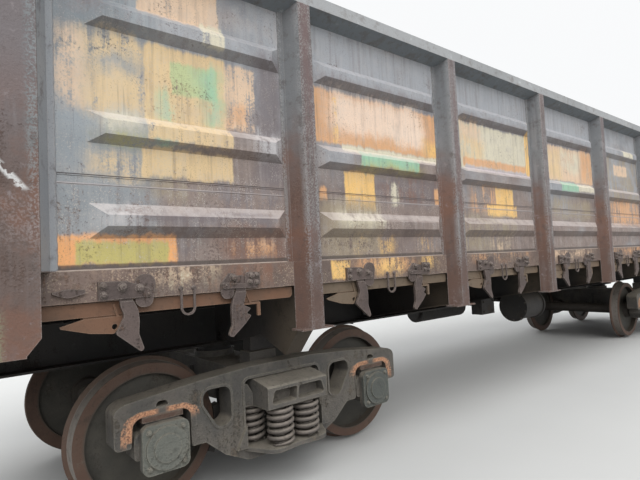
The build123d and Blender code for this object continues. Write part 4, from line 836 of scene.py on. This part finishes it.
def side_finish():
    """Blue grey and brown sheets with patches of old paint, chips, specks and runs, bare inside."""
    coat = Coat("side_paint")
    cloud = coat.noise(0.8, 4.0, 0.6)
    patchy = coat.noise(4.0, 6.0, 0.66, shift=3.1)
    drip = coat.noise(26.0, 4.0, 0.6, stretch=(1, 1, 0.05))
    wipe = coat.noise(7.0, 4.0, 0.6, stretch=(0.1, 1, 1), shift=1.3)
    grain = coat.noise(80.0, 4.0, 0.68)
    mottle = coat.noise(11.0, 5.0, 0.7, stretch=(1, 1, 0.6), shift=5.0)

    high = coat.ramp(coat.z, 1.7, 3.0)
    blue = coat.mix(coat.ramp(patchy, 0.3, 0.7), srgb(146, 150, 156), srgb(174, 176, 181))
    brown = coat.mix(coat.ramp(patchy, 0.3, 0.7), srgb(122, 108, 104), srgb(154, 138, 130))
    lean = coat.sum(cloud, coat.times(high, 0.35), coat.times(wipe, 0.35), coat.times(drip, 0.25))
    coat.colour = coat.mix(coat.ramp(lean, 0.82, 1.14), brown, blue)

    painted(coat, SIDE_PATCHES, patchy, drip, grain)

    film = coat.ramp(coat.weighed(drip, 0.6, mottle, 0.4), 0.46, 0.66)
    coat.lay(srgb(118, 106, 104), film, 0.34)
    film = coat.ramp(coat.weighed(drip, 0.5, wipe, 0.5), 0.5, 0.34)
    coat.lay(srgb(188, 184, 182), film, 0.24)
    worn = coat.sum(
        coat.times(patchy, 0.45), coat.times(grain, 0.55), coat.ramp(coat.z, 2.4, 1.5, 0.0, 0.025),
    )
    chips = coat.ramp(worn, 0.575, 0.635)
    rust = coat.mix(coat.ramp(grain, 0.42, 0.58), srgb(128, 96, 82), srgb(98, 82, 78))
    coat.lay(rust, chips, 0.55)
    speck = coat.ramp(coat.noise(150.0, 2.0, 0.7, shift=2.0), 0.56, 0.66)
    low = coat.ramp(coat.z, 2.5, 2.0, 0.45, 0.8)
    coat.lay(srgb(200, 192, 184), speck, coat.ramp(mottle, 0.44, 0.58), low)
    speck = coat.ramp(coat.noise(130.0, 2.0, 0.7, shift=5.5), 0.56, 0.66)
    coat.lay(srgb(98, 88, 88), speck, coat.ramp(mottle, 0.54, 0.4), 0.4)
    scratch = coat.ramp(coat.noise(55.0, 2.0, 0.6, stretch=(1, 1, 0.03), shift=4.0), 0.64, 0.72)
    coat.lay(srgb(86, 76, 74), scratch, 0.25)

    # Painted highlight: the upward slopes of the ridges are paled, broken by wiped streaks and weaker on
    # the top ridge
    lit = coat.times(coat.ramp(coat.nz, 0.15, 0.45), coat.ramp(wipe, 0.36, 0.52))
    lit = coat.times(lit, coat.ramp(coat.z, 2.75, 2.95, 0.5, 0.15))
    lit = coat.times(lit, coat.ramp(coat.weighed(drip, 0.6, mottle, 0.4), 0.62, 0.46, 0.5, 1.0))
    coat.lay(srgb(204, 194, 190), lit)
    # Painted shade, with some grime: the downward slopes of the ridges are darkened
    shade_and_grime = coat.ramp(coat.nz, -0.15, -0.45)
    coat.lay(srgb(110, 98, 96), shade_and_grime, 0.25)
    seam = coat.band(coat.z, SEAM_HEIGHT + 0.004, SEAM_HEIGHT + 0.008, 0.003)
    coat.lay(srgb(50, 42, 42), seam, 0.85)
    lap = SEAM_HEIGHT - SEAM_LAP
    pale_line = coat.band(coat.z, lap - 0.005, lap + 0.005, 0.004)
    coat.lay(srgb(176, 168, 168), pale_line, coat.ramp(wipe, 0.38, 0.5), 0.6)
    foot = coat.band(coat.z, CHORD_TOP + 0.01, CHORD_TOP + 0.026, 0.01)
    coat.lay(srgb(70, 62, 58), foot, 0.75)
    chord_line = coat.band(coat.z, CHORD_TOP - 0.012, CHORD_TOP + 0.006, 0.002)
    coat.lay(srgb(170, 154, 142), chord_line, 0.7)

    on_end = coat.math("GREATER_THAN", coat.size(coat.x), END_WALL_START)
    across = coat.times(coat.ny, coat.math("SIGN", coat.y))
    endways = coat.times(coat.nx, coat.math("SIGN", coat.x))
    outward = coat.sum(coat.times(endways, on_end), coat.times(across, coat.minus(1.0, on_end)))
    hidden = coat.math("LESS_THAN", outward, -0.02)
    bare = coat.mix(coat.ramp(patchy, 0.4, 0.6), srgb(116, 82, 62), srgb(78, 62, 54))
    wiped = coat.times(coat.ramp(wipe, 0.46, 0.62), 0.6)
    coat.lay(coat.mix(wiped, bare, srgb(138, 126, 116)), hidden)

    rough = coat.sum(0.5, coat.times(chips, 0.28), coat.times(grain, 0.12))
    dents = coat.bump(coat.noise(1.7, 2.0, 0.5, shift=7.0), 0.035)
    height = coat.weighed(grain, 0.35, patchy, 0.35, chips, -0.3)
    return coat.close(rough, coat.bump(height, 0.004, dents))


def weathered(
    name, paint, other, rust, dark, rusted=0.4, scale=3.0, dust=None, dusty=0.0, edge=None, edge_wear_and_highlight=0.65,
    edge_size=0.007, rough=0.62, depth=0.003, extra=None,
):
    """Old paint or bare metal: rust, pits, dust above, painted shade below, worn edges with a painted
    highlight.

    Extra is a function that adds what only this slot has.
    """
    coat = Coat(name)
    pale = tuple(min(1.0, value * 1.7 + 0.02) for value in paint[:3]) + (1.0,)
    cloud = coat.noise(scale, 5.0, 0.62)
    drip = coat.noise(scale * 6, 4.0, 0.6, stretch=(1, 1, 0.06))
    grain = coat.noise(85.0, 4.0, 0.66)
    tones = coat.ramp(coat.noise(scale * 0.6, 4.0, 0.6, shift=6.0), 0.38, 0.62)
    coat.colour = coat.mix(tones, paint, other)
    worn = coat.weighed(cloud, 0.5, drip, 0.24, grain, 0.26)
    share = coat.ramp(worn, 0.6 - rusted * 0.2, 0.66 - rusted * 0.2)
    tone = coat.mix(coat.ramp(grain, 0.38, 0.62), rust, dark)
    coat.lay(tone, share, 0.8)
    if extra:
        extra(coat, cloud, drip, grain)
    if dust:
        layer = coat.sum(coat.ramp(coat.nz, -0.1, 0.8), coat.swing(cloud, 2.5))
        coat.lay(dust, coat.ramp(layer, 0.0, 1.0), dusty)
    mottle = coat.noise(scale * 5, 5.0, 0.72, shift=11.0)
    coat.lay(pale, coat.ramp(mottle, 0.4, 0.28, 0.0, 0.45))
    coat.lay(dark, coat.ramp(mottle, 0.52, 0.7, 0.0, 0.5))
    # Painted shade, with some grime: faces that look down are darkened
    below = coat.ramp(coat.nz, -0.3, -0.9)
    coat.lay(srgb(44, 38, 36), below, 0.3)
    # Pale worn edges, partly a painted highlight along the edges
    if edge:
        rim = coat.times(coat.edges(edge_size), coat.ramp(grain, 0.36, 0.52))
        coat.lay(edge, rim, edge_wear_and_highlight)
    pits = coat.ramp(coat.noise(170.0, 2.0, 0.7, shift=9.0), 0.61, 0.68)
    coat.lay(dark, pits, 0.4)
    roughness = coat.sum(rough, coat.times(share, 0.18), coat.times(grain, 0.1))
    height = coat.weighed(grain, 0.5, cloud, 0.6, share, 0.2)
    return coat.close(roughness, coat.bump(height, depth))


# Marks on the corner post of the photograph: left, right, low, high
GREEN_MARK = (-6.42, -6.16, 1.24, 1.4)
WHITE_MARK = (-6.125, -6.105, 2.02, 2.13)
WHITE_MARK_SLANT = 0.85
WHITE_MARK_HEIGHT = 2.09


def post_details(coat, cloud, drip, grain):
    """Posts are browner towards their feet, with pale flaking down their edges."""
    length = coat.size(coat.x)
    reach = coat.size(coat.y)
    on_post = coat.ramp(length, CORNER_START, CORNER_START - 0.02)
    share = coat.math("FRACT", coat.math("DIVIDE", coat.x, POST_PITCH))
    away = coat.size(coat.swing(share, POST_PITCH))
    low = coat.ramp(coat.sum(coat.z, coat.times(cloud, 0.8)), 3.15, 2.35)
    side = coat.ramp(away, POST_FACE_HALF - 0.004, POST_FACE_HALF + 0.004)
    blue = coat.times(side, on_post, coat.minus(1.0, low))
    coat.lay(srgb(122, 129, 133), blue, 0.65)
    face = coat.times(coat.minus(1.0, side), on_post)
    coat.lay(srgb(122, 98, 96), face, coat.ramp(drip, 0.4, 0.56), 0.55)
    tone = coat.mix(coat.ramp(cloud, 0.42, 0.58), srgb(118, 82, 64), srgb(98, 80, 72))
    most = coat.ramp(face, 0.0, 1.0, 0.8, 0.42)
    coat.lay(tone, low, coat.ramp(cloud, 0.2, 0.45), most)
    coat.lay(srgb(118, 82, 64), low, side, on_post, 0.4)
    foot = coat.times(coat.ramp(coat.z, 1.95, 1.45), on_post)
    coat.lay(srgb(88, 68, 60), foot, 0.72)
    grey = coat.times(face, coat.ramp(grain, 0.46, 0.6), coat.ramp(cloud, 0.4, 0.56))
    grey = coat.times(grey, coat.ramp(coat.z, 1.45, 1.95, 0.2, 1.0))
    coat.lay(srgb(160, 157, 154), grey, 0.6)
    streak = coat.times(coat.ramp(drip, 0.5, 0.36), coat.ramp(cloud, 0.4, 0.6))
    streak = coat.times(streak, coat.ramp(low, 0.2, 0.9, 1.0, 0.25))
    coat.lay(srgb(150, 147, 149), streak, 0.4)
    flake = coat.ramp(coat.weighed(grain, 0.6, cloud, 0.4), 0.46, 0.54)
    face_edge = coat.times(coat.band(away, POST_FACE_HALF - 0.012, POST_FACE_HALF + 0.002, 0.02), on_post)
    flange = coat.times(coat.band(away, POST_FLANGE_HALF - 0.016, POST_FLANGE_HALF + 0.002, 0.012), on_post)
    corner_edge = coat.times(
        coat.band(length, CORNER_EDGE + 0.003, CORNER_EDGE + 0.025, 0.03),
        coat.ramp(coat.z, 1.5, 2.2, 0.2, 1.0),
    )
    line = coat.most(coat.most(face_edge, flange), corner_edge)
    line = coat.times(line, coat.ramp(coat.z, 1.25, 1.75, 0.35, 1.0))
    coat.lay(srgb(156, 156, 157), line, flake, 0.55)
    strip = coat.band(length, CORNER_EDGE + 0.004, CORNER_EDGE + 0.034, 0.035)
    strip = coat.times(strip, coat.ramp(coat.z, 1.9, 2.4))
    strip = coat.times(strip, coat.ramp(coat.sum(grain, coat.times(cloud, 0.5)), 0.62, 0.86))
    coat.lay(srgb(128, 139, 143), strip, 0.6)
    beside = coat.band(length, CORNER_START, CORNER_EDGE - 0.005, 0.002)
    beside = coat.times(beside, coat.ramp(reach, POST_FACE - 0.004, POST_FACE - 0.012))
    beside = coat.times(beside, coat.ramp(coat.z, CHORD_TOP, CHORD_TOP + 0.01))
    coat.lay(coat.mix(cloud, srgb(140, 146, 152), srgb(168, 170, 174)), beside, 0.9)
    along = along_side(coat)
    left, right, bottom, top = GREEN_MARK
    faded_low = coat.times(coat.band(along, left, right, 0.05), coat.band(coat.z, bottom, top, 0.08))
    coat.lay(srgb(144, 152, 124), faded_low, coat.ramp(grain, 0.62, 0.46), 0.55)
    haze = coat.times(coat.band(coat.z, 1.8, 1.92, 0.12), coat.band(length, 6.0, 6.4, 0.05))
    coat.lay(srgb(158, 146, 144), haze, coat.ramp(grain, 0.44, 0.6), 0.4)
    slant = coat.sum(along, coat.times(coat.minus(coat.z, WHITE_MARK_HEIGHT), WHITE_MARK_SLANT))
    left, right, bottom, top = WHITE_MARK
    bright = coat.times(coat.band(slant, left, right, 0.022), coat.band(coat.z, bottom, top, 0.03))
    bright = coat.times(bright, coat.ramp(coat.noise(26.0, 3.0, 0.6, shift=8.0), 0.42, 0.5))
    coat.lay(srgb(226, 226, 226), bright, 0.85)


def top_chord_details(coat, cloud, drip, grain):
    """Painted shade: the slanted underside of the top chord is laid over with a darker blue grey."""
    coat.lay(srgb(142, 152, 160), coat.ramp(coat.nz, -0.1, -0.35), 0.85)
    stain = coat.times(coat.ramp(drip, 0.5, 0.62), coat.ramp(coat.z, 3.46, 3.4))
    coat.lay(srgb(122, 104, 92), stain, 0.35)


def hatch_details(coat, cloud, drip, grain):
    """All covers but the end ones are greyer."""
    middle = coat.ramp(coat.size(coat.x), 4.6, 4.1)
    coat.lay(coat.mix(cloud, srgb(96, 86, 74), srgb(132, 122, 104)), middle, 0.65)


def frame_details(coat, cloud, drip, grain):
    """The outer parts of the frame are browner and dustier than those in the middle."""
    outer = coat.ramp(coat.size(coat.y), 0.9, 1.35)
    outer = coat.most(outer, coat.ramp(coat.size(coat.x), 6.3, 6.42))
    coat.lay(coat.mix(cloud, srgb(84, 76, 66), srgb(108, 94, 78)), outer, 0.75)


def chord_details(coat, cloud, drip, grain):
    """Worn patches of bright paint and pale speckles."""
    patchy = coat.noise(5.0, 6.0, 0.66, shift=2.0)
    painted(coat, CHORD_PATCHES, patchy, drip, grain)
    speck = coat.times(
        coat.ramp(coat.noise(120.0, 2.0, 0.7, shift=5.0), 0.56, 0.62), coat.ramp(patchy, 0.4, 0.56),
    )
    coat.lay(srgb(184, 168, 148), speck, 0.6)


# Marking paint: face of the lips that carry it, how far from an axle it goes, and the arch that it follows
LIP_FACE = SIDE_FRAME_FACE + 0.005
LIP_REACH = 0.27
ARCH_HALF = 0.246
ARCH_RISE = 0.232
ARCH_POWER = 5.0
# Axle boxes: half length, top, and how far out of the side frame nothing else stands
BOX_HALF = 0.19
BOX_TOP = 0.67
BOX_OUT = 0.04
AXLE_PLACES = [abs(x) for x in WHEEL_PLACES[:2]]
BOGIE_PLACE = sum(AXLE_PLACES) / 2
AXLE_OFFSET = abs(AXLE_PLACES[0] - AXLE_PLACES[1]) / 2
FAR_AWAY = 10.0


def from_axle(coat):
    """Distance along the wagon from the nearest axle."""
    near = FAR_AWAY
    for place in AXLE_PLACES:
        near = coat.math("MINIMUM", near, coat.size(coat.minus(coat.size(coat.x), place)))
    return near


def bogie_details(coat, cloud, drip, grain):
    """Marking paint on the lips of the axle box jaws, greenish axle boxes and rust at their seats."""
    reach = coat.size(coat.y)
    out = coat.ramp(reach, SIDE_FRAME_FACE + BOX_OUT - 0.006, SIDE_FRAME_FACE + BOX_OUT)
    box = coat.times(out, coat.ramp(coat.z, BOX_TOP, BOX_TOP - 0.01))
    near = from_axle(coat)
    at_box = coat.times(coat.ramp(near, BOX_HALF, BOX_HALF - 0.01), box)
    coat.lay(coat.mix(cloud, srgb(104, 107, 100), srgb(128, 132, 124)), at_box, 0.7)
    inner_box = coat.times(at_box, coat.ramp(coat.size(coat.x), BOGIE_PLACE + 0.1, BOGIE_PLACE - 0.1))
    coat.lay(srgb(72, 77, 75), inner_box, 0.7)
    face = coat.band(reach, SIDE_FRAME_FACE - 0.004, LIP_FACE + 0.004, 0.003)
    lip = coat.band(reach, LIP_FACE - 0.001, LIP_FACE + 0.001, 0.0015)
    lip = coat.times(coat.ramp(near, LIP_REACH, LIP_REACH - 0.01), lip)
    rise = coat.math("DIVIDE", coat.minus(coat.z, AXLE_HEIGHT - 0.02), ARCH_RISE)
    rise = coat.math("POWER", coat.most(rise, 0.0), ARCH_POWER)
    wide = coat.math("POWER", coat.math("DIVIDE", near, ARCH_HALF), ARCH_POWER)
    arch = coat.math("POWER", coat.sum(wide, rise), 1 / ARCH_POWER)
    splash = coat.times(coat.band(arch, 0.92, 1.03, 0.07), face)
    ragged = coat.weighed(grain, 0.62, cloud, 0.38)
    marked = coat.most(lip, coat.times(splash, 0.8))
    ragged = coat.ramp(coat.sum(ragged, coat.times(marked, -0.3)), 0.38, 0.23)
    middle = coat.size(coat.minus(coat.size(coat.x), BOGIE_PLACE))
    inner = coat.ramp(middle, AXLE_OFFSET - 0.05, AXLE_OFFSET - 0.02, 0.1, 0.0)
    foot = coat.sum(coat.z, coat.times(inner, -1.0), coat.times(cloud, 0.1))
    marked = coat.times(marked, ragged, coat.ramp(near, 0.01, 0.06), coat.ramp(foot, 0.57, 0.64))
    marking = coat.mix(coat.ramp(grain, 0.4, 0.6), srgb(226, 170, 132), srgb(176, 122, 92))
    coat.lay(marking, marked, 0.88)
    seat = coat.times(coat.ramp(near, 0.135, 0.13), coat.band(coat.z, 0.664, 0.702, 0.002))
    coat.lay(srgb(92, 66, 54), seat, 0.8)


TREAD_RADIUS = 0.475
RIM_INNER_RADIUS = 0.4
HUB_RADIUS = 0.13
# Clean part of the tread, across the wagon
TREAD_INNER = 0.752
TREAD_OUTER = 0.842


def wheel_details(coat, cloud, drip, grain):
    """Rust on the rim, a worn bright tread, a greasy hub."""
    height = coat.minus(coat.z, AXLE_HEIGHT)
    near = from_axle(coat)
    radius = coat.math("SQRT", coat.sum(coat.times(near, near), coat.times(height, height)))
    rim = coat.ramp(radius, RIM_INNER_RADIUS - 0.01, RIM_INNER_RADIUS + 0.02)
    coat.lay(coat.mix(cloud, srgb(78, 56, 46), srgb(108, 78, 63)), rim, 0.75)
    hub = coat.ramp(radius, HUB_RADIUS + 0.06, HUB_RADIUS)
    coat.lay(srgb(58, 50, 46), hub, 0.7)
    tread = coat.times(
        coat.band(radius, TREAD_RADIUS - 0.007, TREAD_RADIUS + 0.004, 0.001),
        coat.band(coat.size(coat.y), TREAD_INNER, TREAD_OUTER, 0.006),
    )
    coat.lay(srgb(150, 144, 138), tread, 0.8)


# Each slot but the side's: paint, its other tone, rust, dark, share rusted, cells to a metre, the rest
PAINTS = {
    "post_paint": (
        srgb(118, 111, 113), srgb(104, 94, 94), srgb(116, 86, 74), srgb(74, 62, 58), 0.28, 2.4,
        dict(edge=srgb(166, 160, 156), depth=0.005, extra=post_details),
    ),
    "chord_paint": (
        srgb(172, 174, 176), srgb(156, 158, 160), srgb(136, 112, 98), srgb(110, 98, 92), 0.12, 2.0,
        dict(dust=srgb(190, 190, 188), dusty=0.5, extra=top_chord_details),
    ),
    "lower_chord_paint": (
        srgb(122, 104, 96), srgb(108, 94, 88), srgb(130, 92, 72), srgb(84, 68, 60), 0.36, 5.0,
        dict(dust=srgb(172, 158, 146), dusty=0.5, edge=srgb(168, 150, 136), extra=chord_details),
    ),
    "hatch_paint": (
        srgb(118, 86, 66), srgb(104, 80, 64), srgb(100, 74, 58), srgb(68, 56, 48), 0.25, 3.0,
        dict(dust=srgb(136, 112, 92), dusty=0.3, edge=srgb(160, 136, 116), extra=hatch_details),
    ),
    "frame_paint": (
        srgb(46, 45, 45), srgb(54, 50, 48), srgb(62, 50, 44), srgb(34, 32, 32), 0.3, 2.4,
        dict(dust=srgb(92, 86, 78), dusty=0.35, edge=srgb(92, 84, 76), extra=frame_details),
    ),
    "latch_steel": (
        srgb(96, 83, 79), srgb(82, 71, 68), srgb(108, 78, 62), srgb(52, 44, 41), 0.36, 9.0,
        dict(
            dust=srgb(146, 134, 124), dusty=0.35, edge=srgb(152, 142, 134), edge_wear_and_highlight=0.7, edge_size=0.008,
            depth=0.008,
        ),
    ),
    "bogie_cast": (
        srgb(102, 97, 91), srgb(82, 80, 77), srgb(104, 84, 70), srgb(46, 45, 43), 0.24, 5.0,
        dict(
            dust=srgb(150, 142, 128), dusty=0.55, edge=srgb(152, 146, 134), edge_wear_and_highlight=0.55, edge_size=0.014,
            depth=0.016, extra=bogie_details,
        ),
    ),
    "spring_steel": (
        srgb(108, 100, 95), srgb(90, 84, 80), srgb(100, 80, 68), srgb(54, 50, 47), 0.22, 9.0,
        dict(dust=srgb(146, 138, 126), dusty=0.4),
    ),
    "wheel_steel": (
        srgb(74, 71, 64), srgb(60, 58, 53), srgb(84, 66, 54), srgb(48, 44, 40), 0.2, 3.0,
        dict(dust=srgb(112, 105, 94), dusty=0.3, rough=0.6, extra=wheel_details),
    ),
    "coupler_cast": (
        srgb(78, 70, 66), srgb(62, 57, 54), srgb(100, 72, 56), srgb(46, 42, 39), 0.4, 5.0,
        dict(dust=srgb(116, 106, 96), dusty=0.4, edge=srgb(134, 122, 110), depth=0.005),
    ),
    "brake_steel": (
        srgb(58, 55, 53), srgb(50, 48, 47), srgb(78, 62, 52), srgb(40, 37, 36), 0.3, 4.0,
        dict(dust=srgb(100, 94, 86), dusty=0.4, edge=srgb(108, 100, 92)),
    ),
}


def paint_nodes(finishes):
    """Gives every CAD node the finish that the record names for it."""
    for row in frame["record"]["subparts"]:
        mesh = nodes[row["node"]].data
        mesh.materials.clear()
        mesh.materials.append(finishes[row["material_slot"]])


camera()
sky()
lamps()
floor()
finishes = {"side_paint": side_finish()}
for slot_name, (*looks, rest) in PAINTS.items():
    finishes[slot_name] = weathered(slot_name, *looks, **rest)
paint_nodes(finishes)
latch_fasteners(finishes["latch_steel"])
post_welds(finishes["post_paint"])
sheet_welds(finishes["side_paint"])
axle_box_bolts(finishes["bogie_cast"])
brake_bolts(finishes["brake_steel"])
striker_rivets(finishes["coupler_cast"])
end_welds(finishes["post_paint"])
springs(finishes["spring_steel"])
